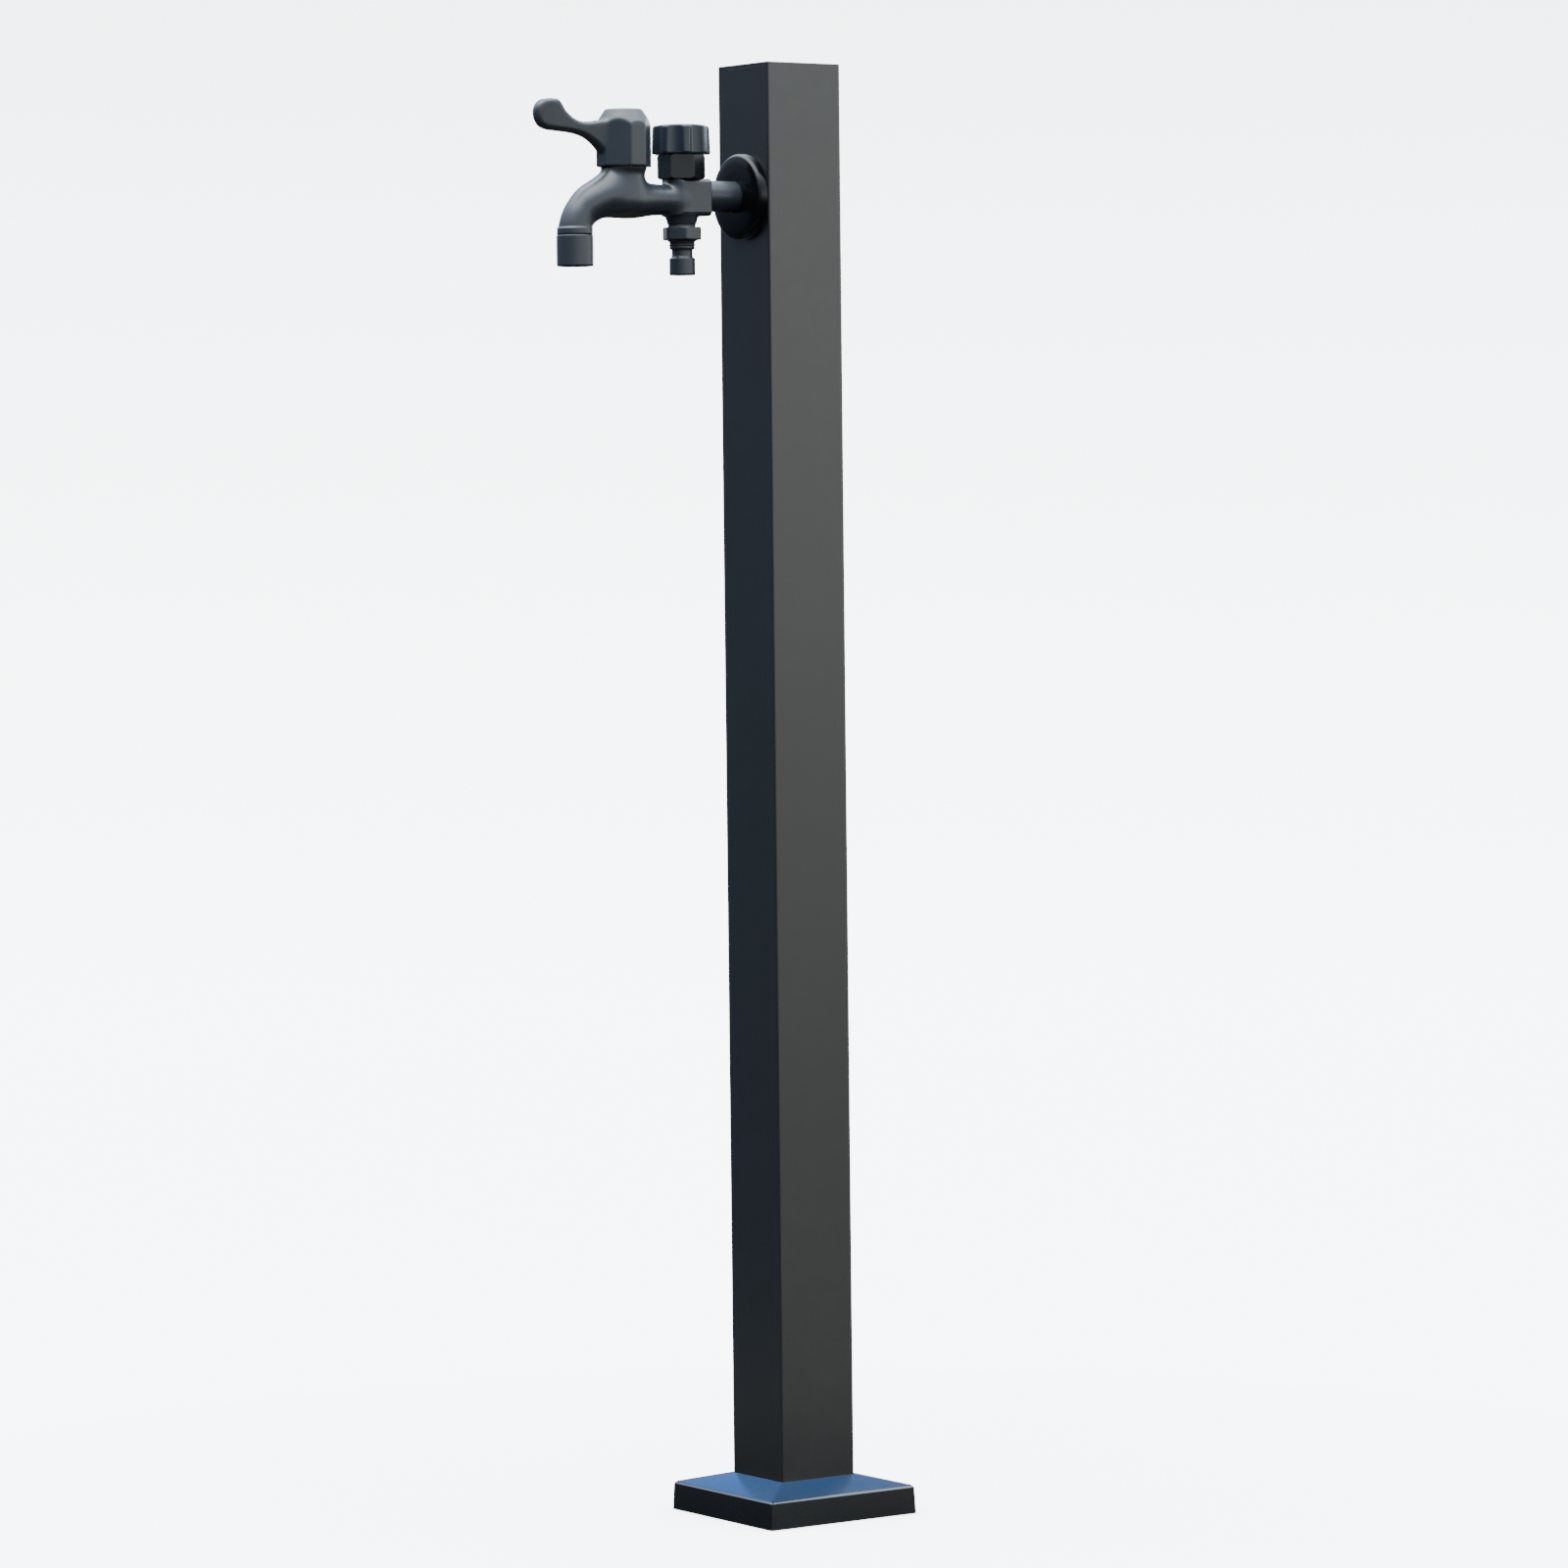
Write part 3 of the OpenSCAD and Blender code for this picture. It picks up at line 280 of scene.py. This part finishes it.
def noise(material, scale, detail, stretch=(1, 1, 1)):
    """Noise over the object's own coordinates, in metres."""
    nodes, links = material.node_tree.nodes, material.node_tree.links
    place = nodes.new("ShaderNodeTexCoord")
    scaled = nodes.new("ShaderNodeVectorMath")
    scaled.operation = "MULTIPLY"
    scaled.inputs[1].default_value = stretch
    links.new(place.outputs["Object"], scaled.inputs[0])
    made = nodes.new("ShaderNodeTexNoise")
    made.inputs["Scale"].default_value = scale
    made.inputs["Detail"].default_value = detail
    links.new(scaled.outputs[0], made.inputs["Vector"])
    return made.outputs["Fac"]


def ramp(material, value, low, high):
    """Maps the middle of a noise value's range to a range for a socket that varies over the surface."""
    nodes, links = material.node_tree.nodes, material.node_tree.links
    made = nodes.new("ShaderNodeMapRange")
    made.inputs["From Min"].default_value = 0.3
    made.inputs["From Max"].default_value = 0.7
    made.inputs["To Min"].default_value = low
    made.inputs["To Max"].default_value = high
    links.new(value, made.inputs["Value"])
    return made.outputs[0]


def vary_color(material, value, low, high):
    nodes, links = material.node_tree.nodes, material.node_tree.links
    mix = nodes.new("ShaderNodeMix")
    mix.data_type = "RGBA"
    mix.inputs["A"].default_value = (*low, 1)
    mix.inputs["B"].default_value = (*high, 1)
    links.new(ramp(material, value, 0, 1), mix.inputs["Factor"])
    links.new(mix.outputs["Result"], nodes["Principled BSDF"].inputs["Base Color"])


def bump(material, value, depth, strength):
    nodes, links = material.node_tree.nodes, material.node_tree.links
    made = nodes.new("ShaderNodeBump")
    made.inputs["Strength"].default_value = strength
    made.inputs["Distance"].default_value = depth
    links.new(value, made.inputs["Height"])
    links.new(made.outputs[0], nodes["Principled BSDF"].inputs["Normal"])


def powder_coat(name, low, high, roughness, specular, grain, depth):
    """Baked powder coat: a fine orange peel, and a faint drift in tone and gloss."""
    material = new_material(name, low, roughness, specular=specular)
    vary_color(material, noise(material, 14, 4), low, high)
    gloss = ramp(material, noise(material, 90, 2), roughness - 0.01, roughness + 0.015)
    material.node_tree.links.new(gloss, material.node_tree.nodes["Principled BSDF"].inputs["Roughness"])
    bump(material, noise(material, grain, 2), depth, 0.35)
    return material


def machined(name, low, high, roughness):
    """Turned metal: fine rings of tool marks round the upright axis."""
    material = new_material(name, low, roughness, metallic=1.0)
    vary_color(material, noise(material, 120, 3), low, high)
    bump(material, noise(material, 60, 2, (1, 1, 60)), 0.00003, 0.4)
    return material


# Name, darkest and lightest colour, roughness, specular level, bumps in a metre and their depth in metres
PAINTS = [
    ("post_paint", (0.0034, 0.0036, 0.0040), (0.0042, 0.0045, 0.0050), 0.29, 0.50, 1600, 0.000003),
    ("tap_paint", (0.0105, 0.0128, 0.0165), (0.0132, 0.0160, 0.0200), 0.33, 0.33, 2200, 0.000010),
    ("black_paint", (0.0030, 0.0035, 0.0042), (0.0038, 0.0044, 0.0052), 0.26, 0.30, 2000, 0.000002),
    # The flange's paint is a darker copy of the black paint above: painted shade in its colour
    ("flange_paint", (0.0012, 0.0014, 0.0018), (0.0016, 0.0018, 0.0023), 0.20, 0.16, 2000, 0.000002),
    ("knob_plastic", (0.0098, 0.0130, 0.0175), (0.0120, 0.0155, 0.0205), 0.25, 0.25, 2600, 0.000004),
]
# Name, darkest and lightest colour, roughness
METALS = [
    ("brass", (0.58, 0.38, 0.15), (0.68, 0.47, 0.20), 0.30),
    ("stainless", (0.50, 0.51, 0.52), (0.62, 0.63, 0.64), 0.28),
]
# Name, colour, roughness
PLAIN = [
    ("black_plastic", (0.006, 0.0065, 0.0075), 0.40),
    ("rubber", (0.014, 0.014, 0.014), 0.72),
    ("ceramic", (0.80, 0.80, 0.77), 0.16),
    ("clear_plastic", (0.55, 0.57, 0.58), 0.35),
]

MATERIALS = {}
for make, rows in ((powder_coat, PAINTS), (machined, METALS), (new_material, PLAIN)):
    MATERIALS.update({row[0]: make(*row) for row in rows})
SLOT_OF = {s["node"]: s["material_slot"] for s in frame["record"]["subparts"]}


def dress(obj, slot):
    """Gives an object the finish of one of the record's slots."""
    obj.data.materials.clear()
    obj.data.materials.append(MATERIALS[slot])


def soften(obj, width):
    """Rounds the sharp edges of a CAD piece."""
    weld = obj.modifiers.new("weld", "WELD")
    weld.merge_threshold = 0.000002
    bevel = obj.modifiers.new("bevel", "BEVEL")
    bevel.width = width * MM
    bevel.segments = 3
    bevel.limit_method = "ANGLE"
    bevel.angle_limit = math.radians(32)
    bevel.harden_normals = True
    obj.data.polygons.foreach_set("use_smooth", [True] * len(obj.data.polygons))
    flat = obj.modifiers.new("flat", "WEIGHTED_NORMAL")
    flat.weight = 90
    flat.keep_sharp = False


# Smooth forms. A field is the distance to a surface in mm, below zero inside, at points x, y, z.

def join(a, b, k):
    """Both forms, with a fillet of about k between them."""
    h = np.maximum(k - np.abs(a - b), 0) / k
    return np.minimum(a, b) - h * h * k / 4


def common(a, b, k):
    """What two forms share, with rounded edges."""
    return -join(-a, -b, k)


def rounded_pair(a, b, r):
    """What two forms share, with edges of radius r."""
    a, b = a + r, b + r
    return np.minimum(np.maximum(a, b), 0) + np.hypot(np.maximum(a, 0), np.maximum(b, 0)) - r


def upright(p, reach, r, low, high, edge=0.01):
    """A cylinder on an upright axis at a reach."""
    radial = np.hypot(p[0], p[1] + reach) - r
    return rounded_pair(radial, np.abs(p[2] - (low + high) / 2) - (high - low) / 2, edge)


def forward(p, height, r, start, end, edge=0.01):
    """A cylinder that runs forward at a height; r may be one radius for each point."""
    radial = np.hypot(p[0], p[2] - height) - r
    return rounded_pair(radial, np.abs(-p[1] - (start + end) / 2) - (end - start) / 2, edge)


def slanted(p, start, end, r_start, r_end):
    """A round-ended rod between two places in the plane of symmetry, each a reach and a height."""
    run, rise = end[0] - start[0], end[1] - start[1]
    along = ((-p[1] - start[0]) * run + (p[2] - start[1]) * rise) / (run * run + rise * rise)
    along = np.clip(along, 0, 1)
    side = np.hypot(-p[1] - start[0] - along * run, p[2] - start[1] - along * rise)
    return np.hypot(p[0], side) - (r_start + (r_end - r_start) * along)


def polygon_distance(u, v, points):
    """Distance to the edge of a closed outline, below zero inside."""
    best = np.full(u.shape, 1e18)
    inside = np.zeros(u.shape, bool)
    for (x0, y0), (x1, y1) in zip(points, points[1:] + points[:1]):
        dx, dy = x1 - x0, y1 - y0
        t = np.clip(((u - x0) * dx + (v - y0) * dy) / (dx * dx + dy * dy), 0, 1)
        best = np.minimum(best, (u - x0 - t * dx) ** 2 + (v - y0 - t * dy) ** 2)
        if y0 != y1:
            inside ^= ((y0 > v) != (y1 > v)) & (u < dx * (v - y0) / dy + x0)
    return np.where(inside, -1, 1) * np.sqrt(best)


def smooth_path(points, steps=6):
    """A smooth closed outline through points."""
    made = []
    n = len(points)
    for i in range(n):
        a, b, c, d = (np.array(points[(i + j - 1) % n], float) for j in range(4))
        for s in range(steps):
            t = s / steps
            made.append(tuple(0.5 * (2 * b + (c - a) * t + (2 * a - 5 * b + 4 * c - d) * t ** 2
                                     + (3 * b - a - 3 * c + d) * t ** 3)))
    return made


def near(p, low, high, margin, field):
    """A costly field worked out only near its box, and a plain bound further off."""
    out = np.sqrt(sum(np.maximum(np.maximum(low[i] - p[i], p[i] - high[i]), 0) ** 2 for i in range(3)))
    close = out < margin
    made = out + 0.5 * margin
    if close.any():
        made[close] = field([c[close] for c in p])
    return made


SLOPE_STEP = 0.04  # How far to each side of a point a field is read for its slope
DRAW_PASSES = 4


def skin(name, field, low, high, pitch):
    """A mesh on the zero surface of a field: a net over a grid, drawn onto the surface."""
    axes = [np.arange(low[i], high[i] + pitch, pitch) for i in range(3)]
    grid = np.meshgrid(*axes, indexing="ij")
    value = field([g.ravel() for g in grid]).reshape(grid[0].shape)
    inside = value < 0
    corners = [(i, j, k) for i in (0, 1) for j in (0, 1) for k in (0, 1)]
    shape = [n - 1 for n in value.shape]

    def corner(array, c):
        return array[c[0]:c[0] + shape[0], c[1]:c[1] + shape[1], c[2]:c[2] + shape[2]]

    count = sum(corner(inside, c).astype(np.int8) for c in corners)
    cell = np.argwhere((count > 0) & (count < 8))
    index = -np.ones(shape, np.int64)
    index[tuple(cell.T)] = np.arange(len(cell))
    total = np.zeros((len(cell), 3))
    hits = np.zeros(len(cell))
    for a in corners:
        for axis in range(3):
            if a[axis]:
                continue
            b = list(a)
            b[axis] = 1
            va = value[tuple((cell + a).T)]
            vb = value[tuple((cell + b).T)]
            cross = (va < 0) != (vb < 0)
            t = np.where(cross, va / np.where(cross, va - vb, 1), 0)
            point = np.array(a, float) + t[:, None] * (np.array(b, float) - np.array(a, float))
            total[cross] += point[cross]
            hits[cross] += 1
    verts = np.array(low, float) + pitch * (cell + total / hits[:, None])
    quads = []
    for axis in range(3):
        u, v = [i for i in range(3) if i != axis]
        lead = [slice(1, -1)] * 3
        lead[axis] = slice(0, -1)
        after = list(lead)
        after[axis] = slice(1, None)
        flip = inside[tuple(lead)] != inside[tuple(after)]
        at = np.argwhere(flip) + [0 if i == axis else 1 for i in range(3)]
        starts_inside = inside[tuple(at.T)]
        ring = []
        for du, dv in ((-1, -1), (0, -1), (0, 0), (-1, 0)):
            place = at.copy()
            place[:, u] += du
            place[:, v] += dv
            ring.append(index[tuple(place.T)])
        ring = np.array(ring).T
        turned = starts_inside if axis != 1 else ~starts_inside
        ring[~turned] = ring[~turned][:, ::-1]
        quads.append(ring)
    quads = np.concatenate(quads)
    for _ in range(DRAW_PASSES):
        at = field(list(verts.T))
        slope = np.zeros_like(verts)
        for i in range(3):
            ahead, behind = verts.copy(), verts.copy()
            ahead[:, i] += SLOPE_STEP
            behind[:, i] -= SLOPE_STEP
            slope[:, i] = (field(list(ahead.T)) - field(list(behind.T))) / (2 * SLOPE_STEP)
        size = np.maximum((slope ** 2).sum(1), 0.25)
        move = slope * (at / size)[:, None]
        long = np.sqrt((move ** 2).sum(1))
        move *= np.minimum(1, 0.5 * pitch / np.maximum(long, 1e-9))[:, None]
        verts = verts - move
    return new_mesh(name, verts, quads)


def new_mesh(name, verts, faces):
    """A smooth object from points in mm."""
    mesh = bpy.data.meshes.new(name)
    mesh.from_pydata((np.asarray(verts, float) * MM).tolist(), [], [list(map(int, f)) for f in faces])
    mesh.validate()
    mesh.polygons.foreach_set("use_smooth", [True] * len(mesh.polygons))
    made = bpy.data.objects.new(name, mesh)
    bpy.context.scene.collection.objects.link(made)
    return made


def stand_in(obj, node, body):
    """obj is shown in a CAD node's place, in its finish, and moves with its body."""
    dress(obj, SLOT_OF[node])
    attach(obj, body)
    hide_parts(node)
    return obj


# Tap casting. Reach is a distance forward of the post's axis.
SIDE, MAIN, SPOUT = 81.0, 127.3, 167.0
INLET, AXIS = 902.0, 899.0
BEND_R = 25.0
TURN = SPOUT - BEND_R
TURN_H = AXIS - BEND_R
NECK_TOP = 920.0
SIDE_TOP = 913.0
SIDE_BASE = 882.0
TAIL_R, TAIL_START = 10.48, 12.1
BLOCK_START, BLOCK_HALF, BLOCK_LOW = 64, 14, INLET - 13.8
FLAT_HALF = 12.0
BARREL_R = 13.2
WAY_R, WAY_START = 7, 8
CHAMBER_R, DUCT_R = 11, 8
# The waist's radius along its reach, and the spout's along its bend in degrees
WAIST = (
    [74, 79, 83, 87, 92, 99, 106, 113, 121, 130],
    [8.6, 9.2, 10.7, 11.2, 10.7, 10.3, 10.8, 11.8, 12.6, 12.9],
)
SPOUT_TAPER = ([0, 20, 45, 70, 90], [12.9, 12.2, 11.4, 11.3, 11.5])


def spout_line(p):
    """Distance from the spout's centre line, and the angle turned: 0 forward, 90 straight down."""
    ahead, above = -p[1] - TURN, p[2] - TURN_H
    from_turn = np.hypot(ahead, above) - BEND_R
    off = np.where(above < 0, ahead - BEND_R, np.where(ahead < 0, above - BEND_R, from_turn))
    turned = np.degrees(np.arctan2(np.maximum(ahead, 0), np.maximum(above, 1e-6)))
    return np.hypot(off, p[0]), turned


def spout_skin(p):
    far, turned = spout_line(p)
    tube = rounded_pair(far - np.interp(turned, *SPOUT_TAPER), TURN_H - p[2], 0.5)
    tube = np.maximum(tube, MAIN + p[1])
    bead = upright(p, SPOUT, 12.0, TURN_H, TURN_H + 4.6, 0.8)
    return join(tube, bead, 1.2)


def wrench_block(p):
    """The side valve's barrel and the block behind it, cut by two wrench flats."""
    middle, half = (BLOCK_LOW + SIDE_TOP) / 2, (SIDE_TOP - BLOCK_LOW) / 2
    barrel = np.hypot(p[0], p[1] + SIDE) - BARREL_R
    along = np.abs(-p[1] - (SIDE + BLOCK_START) / 2) - (SIDE - BLOCK_START) / 2
    block = np.maximum(along, np.abs(p[0]) - BLOCK_HALF)
    across, up = np.abs(p[0]) - FLAT_HALF, np.abs(p[2] - middle) - half
    ends = np.maximum(common(across, up, 0.7), (across + up + 2.0) / math.sqrt(2))
    return common(np.minimum(barrel, block), ends, 0.8)


# The chamber's outline, as radius and height
BOWL_SIDE = [
    (5, 889.2), (10, 889.8), (13.2, 891.6), (15.2, 896), (15.2, 902), (14.5, 908), (14, 914), (14, 926)]
BOWL = smooth_path([(-r, h) for r, h in BOWL_SIDE[::-1]] + BOWL_SIDE)


def casting_outside(p):
    """The whole casting before its bores, with a fillet wherever two forms meet."""
    reach = -p[1]
    barrel = forward(p, AXIS - 0.3, np.interp(reach, *WAIST), SIDE - 7, MAIN + 2)
    radial = np.hypot(p[0], reach - MAIN)
    bowl = near([radial, p[2] * 0, p[2]], (0, 0, 886), (16, 0, 926), 9,
                lambda q: polygon_distance(q[0], q[2], BOWL))
    brow = slanted(p, (MAIN + 0.5, INLET + 6.5), (156, INLET - 8.2), 12.3, 11.0)
    ridge = slanted(p, (MAIN + 3.5, 914.3), (MAIN + 24, 898), 10.3, 9.7)
    body = join(bowl, np.minimum(barrel, spout_skin(p)), 6)
    body = join(body, join(brow, ridge, 5), 4)
    body = common(body, p[2] - NECK_TOP, 1.0)
    block = wrench_block(p)
    cone_r = np.interp(p[2], [SIDE_BASE, SIDE_BASE + 7, SIDE_BASE + 11], [9.5, 11.5, 10.3])
    cone = rounded_pair(np.hypot(p[0], reach - SIDE) - cone_r, np.abs(p[2] - 888) - 6, 0.5)
    body = join(body, join(block, cone, 1.5), 3)
    tail = forward(p, INLET, TAIL_R, TAIL_START, BLOCK_START + 6, 0.6)
    return join(body, tail, 1.2)


def casting_bores(p):
    """The water's way in, both valve chambers, the passages between them and the way out."""
    cuts = forward(p, INLET, WAY_R, WAY_START, SIDE)
    cuts = np.minimum(cuts, upright(p, SIDE, 9.5, 893, 930))
    cuts = np.minimum(cuts, upright(p, SIDE, 5, 880, 900))
    cuts = np.minimum(cuts, upright(p, SIDE, 7.5, 870, 889.5))
    cuts = np.minimum(cuts, slanted(p, (90, AXIS), (126, 894.8), 5, 5))
    cuts = np.minimum(cuts, upright(p, MAIN, 5.5, 894.5, 905))
    cuts = np.minimum(cuts, upright(p, MAIN, CHAMBER_R, 903.5, 940))
    far = spout_line(p)[0]
    duct = np.maximum(far - DUCT_R, MAIN + 6.7 + p[1])
    return np.minimum(cuts, duct)


def tap_casting(p):
    spigot = upright(p, SPOUT, 11, TURN_H - 9, TURN_H + 2, 0.3)
    return np.maximum(np.minimum(casting_outside(p), spigot), -casting_bores(p))


def make_casting():
    casting = skin("tap_casting", tap_casting, (-17.5, -180.5, 863.5), (17.5, -11, 922), 0.55)
    stand_in(casting, "tap_body", "root")


# Hose nipple: a hexagon collar, a ring with the O-ring's groove above it, a neck and the grip end
COLLAR_TOP, COLLAR_LOW, NIPPLE_LOW = 880.5, 872.0, 848.3
COLLAR_HALF, COLLAR_R = 12.0, 13.5
COLLAR_TURN = math.radians(10)


def nipple(p):
    x, ahead, z = p[0], -p[1] - SIDE, p[2]
    radial = np.hypot(x, ahead)
    up = np.abs(z - (COLLAR_TOP + COLLAR_LOW) / 2) - (COLLAR_TOP - COLLAR_LOW) / 2
    collar = rounded_pair(radial - COLLAR_R, up, 0.9)
    for side in range(3):
        way = COLLAR_TURN + side * math.pi / 3
        collar = common(collar, np.abs(x * math.cos(way) - ahead * math.sin(way)) - COLLAR_HALF, 0.5)
    cone_r = np.interp(z, [865.8, 870.6, 871.4, 873], [8.5, 8.5, 9.6, 10.2])
    neck = rounded_pair(radial - cone_r, np.abs(z - 869.9) - 4.1, 0.4)
    groove_r = np.interp(z, [859.8, 861.2, 864.5, 866], [7.6, 7.0, 7.0, 7.2])
    waist = np.maximum(radial - groove_r, np.abs(z - 862.5) - 5)
    end = upright(p, SIDE, 8.75, NIPPLE_LOW, 859.8, 0.7)
    thread = upright(p, SIDE, 7.35, COLLAR_TOP - 1, COLLAR_TOP + 7, 0.4)
    form = join(join(collar, neck, 1.0), np.minimum(np.minimum(waist, end), thread), 0.5)
    seat = np.maximum(np.abs(z - 868.65) - 0.9, 6.95 - radial)
    return np.maximum(np.maximum(form, 5 - radial), -np.maximum(seat, radial - 9.2))


def make_nipple():
    form = skin("nipple_form", nipple, (-14.5, -95.5, 847.3), (14.5, -66.5, 888.5), 0.45)
    stand_in(form, "hose_nipple", "root")


# Lever handle
HUB_BASE, HUB_TOP = 920.15, 958.7
HUB_HALF, HUB_TURNED_HALF = 18.5, 17.0
BEVEL_LOW, BEVEL_LOW_R, BEVEL_TOP_R = 947.3, 19.9, 12.4
# The lever's arm from the side, as distance from the hub's axis and height
PADDLE = smooth_path([
    (8, 951.6), (16, 951.4), (21, 950.8), (27, 949.9), (33, 949.6), (38, 950.6), (43, 953.2), (47.5, 957.0),
    (50.4, 961.0), (53.6, 963.8), (59.5, 964.3), (64.5, 963.5), (68.4, 961), (70.6, 957.3), (71, 953),
    (69.8, 948.8), (66.8, 945.4), (62, 943.6), (56, 942.9), (49, 942.4), (42, 941.6), (36, 940.4), (30, 938),
    (24.5, 934.4), (19.5, 930), (14, 926), (8, 924)], 4)
# Half the arm's thickness along it, and how fast that grows with height
PADDLE_HALF = ([8, 16, 22, 30, 40, 48, 58, 66, 71], [7.8, 7.2, 5.9, 4.8, 4.3, 4.5, 4.8, 4.4, 3.6])
PADDLE_LEAN = 0.06


def hub(p):
    x, ahead = p[0], -p[1] - MAIN
    square = np.maximum(np.abs(x), np.abs(ahead)) - HUB_HALF
    turned = (np.abs(x) + np.abs(ahead)) / math.sqrt(2) - HUB_TURNED_HALF
    sides = common(square, turned, 0.7)
    radial = np.hypot(x, ahead)
    slope = math.atan2(BEVEL_LOW_R - BEVEL_TOP_R, HUB_TOP - BEVEL_LOW)
    bevel = (radial - BEVEL_LOW_R) * math.cos(slope) + (p[2] - BEVEL_LOW) * math.sin(slope)
    form = common(sides, bevel, 0.9)
    form = common(form, p[2] - HUB_TOP, 0.9)
    return common(form, HUB_BASE - p[2], 0.6)


def paddle(p):
    ahead = -p[1] - MAIN
    profile = polygon_distance(ahead, p[2], PADDLE)
    half = np.interp(ahead, *PADDLE_HALF) + PADDLE_LEAN * (p[2] - 951)
    return rounded_pair(profile, np.abs(p[0]) - half, 3.4)


def lever(p):
    arm = near(p, (-9, -199, 924), (9, -133, 965), 7, paddle)
    form = join(hub(p), arm, 1.4)
    cuts = upright(p, MAIN, 14.5, HUB_BASE - 5, 935.7)
    cuts = np.minimum(cuts, upright(p, MAIN, 4.1, 930, 944))
    cuts = np.minimum(cuts, upright(p, MAIN, 4.2, 946.3, 957))
    cuts = np.minimum(cuts, upright(p, MAIN, 2.15, 943, 947))
    cuts = np.minimum(cuts, upright(p, MAIN, 6.1, HUB_TOP - 3, HUB_TOP + 3))
    return np.maximum(form, -cuts)


def make_lever():
    handle = skin("lever_form", lever, (-20.5, -199.5, 919.5), (20.5, -106.5, 965.5), 0.55)
    stand_in(handle, "lever_handle", "lever")


# Knob of the side valve
KNOB_BASE, KNOB_TOP, KNOB_R = 929.55, 949.9, 20.0
FLUTES, FLUTE_R, FLUTE_OUT = 8, 7.0, 3.4


def knob(p):
    x, ahead = p[0], -p[1] - SIDE
    radial = np.hypot(x, ahead)
    wall_r = np.interp(p[2], [KNOB_BASE, KNOB_BASE + 1.2, KNOB_TOP - 3, KNOB_TOP], [19.6, KNOB_R, 19.3, 19.0])
    dome = p[2] - KNOB_TOP + 1.6 * (radial / KNOB_R) ** 3
    form = rounded_pair(radial - wall_r, dome, 1.3)
    form = common(form, KNOB_BASE - p[2], 0.8)
    angle = np.arctan2(ahead, x)
    turn = 2 * math.pi / FLUTES
    angle = (angle + turn / 2) % turn - turn / 2
    scoop = np.hypot(radial * np.cos(angle) - (KNOB_R + FLUTE_OUT), radial * np.sin(angle)) - FLUTE_R
    form = common(form, -scoop, 1.0)
    cuts = upright(p, SIDE, 10, KNOB_BASE - 2, KNOB_BASE + 3)
    cuts = np.minimum(cuts, upright(p, SIDE, 4.1, KNOB_BASE, KNOB_BASE + 9))
    cuts = np.minimum(cuts, upright(p, SIDE, 4.2, KNOB_BASE + 11.4, KNOB_TOP))
    cuts = np.minimum(cuts, upright(p, SIDE, 2.15, KNOB_BASE + 8, KNOB_BASE + 12))
    cuts = np.minimum(cuts, upright(p, SIDE, 6.6, KNOB_TOP - 2.6, KNOB_TOP + 3))
    return np.maximum(form, -cuts)


def make_knob():
    form = skin("knob_form", knob, (-21, -102, 928.6), (21, -60, 951), 0.5)
    stand_in(form, "side_knob", "knob")


# How far the edges of the solids that show are rounded, in mm
EDGES = {
    "base_cover": 0.7, "top_cap": 0.5, "wall_flange": 0.6, "side_bonnet": 0.5, "spout_nozzle": 0.4,
    "handle_cap": 0.3, "knob_cap": 0.3, "cartridge_body": 0.3, "inlet_connector": 0.4, "wall_elbow": 0.5,
    "compression_nuts": 0.4, "base_plate": 0.4,
}
# The gloss sees the glowing forms with painted reflections in the place of these
UNSEEN_BY_GLOSS = (
    "post_tube", "top_cap", "riser_pipe", "wall_elbow", "compression_nuts", "compression_olives",
    "inlet_connector", "elbow_washer",
)

for node, obj in NODES.items():
    dress(obj, SLOT_OF[node])
make_casting()
make_nipple()
make_lever()
make_knob()
for node, width in EDGES.items():
    soften(NODES[node], width)
for node in UNSEEN_BY_GLOSS:
    NODES[node].visible_glossy = False

# The flange is a pressed steel cup in a glossier black than the other black parts, and a darker one: its
# darker colour is painted shade
NODES["wall_flange"].data.materials[0] = MATERIALS["flange_paint"]

add_camera()
add_world()
add_light()
add_backdrop()
add_painted_reflection()
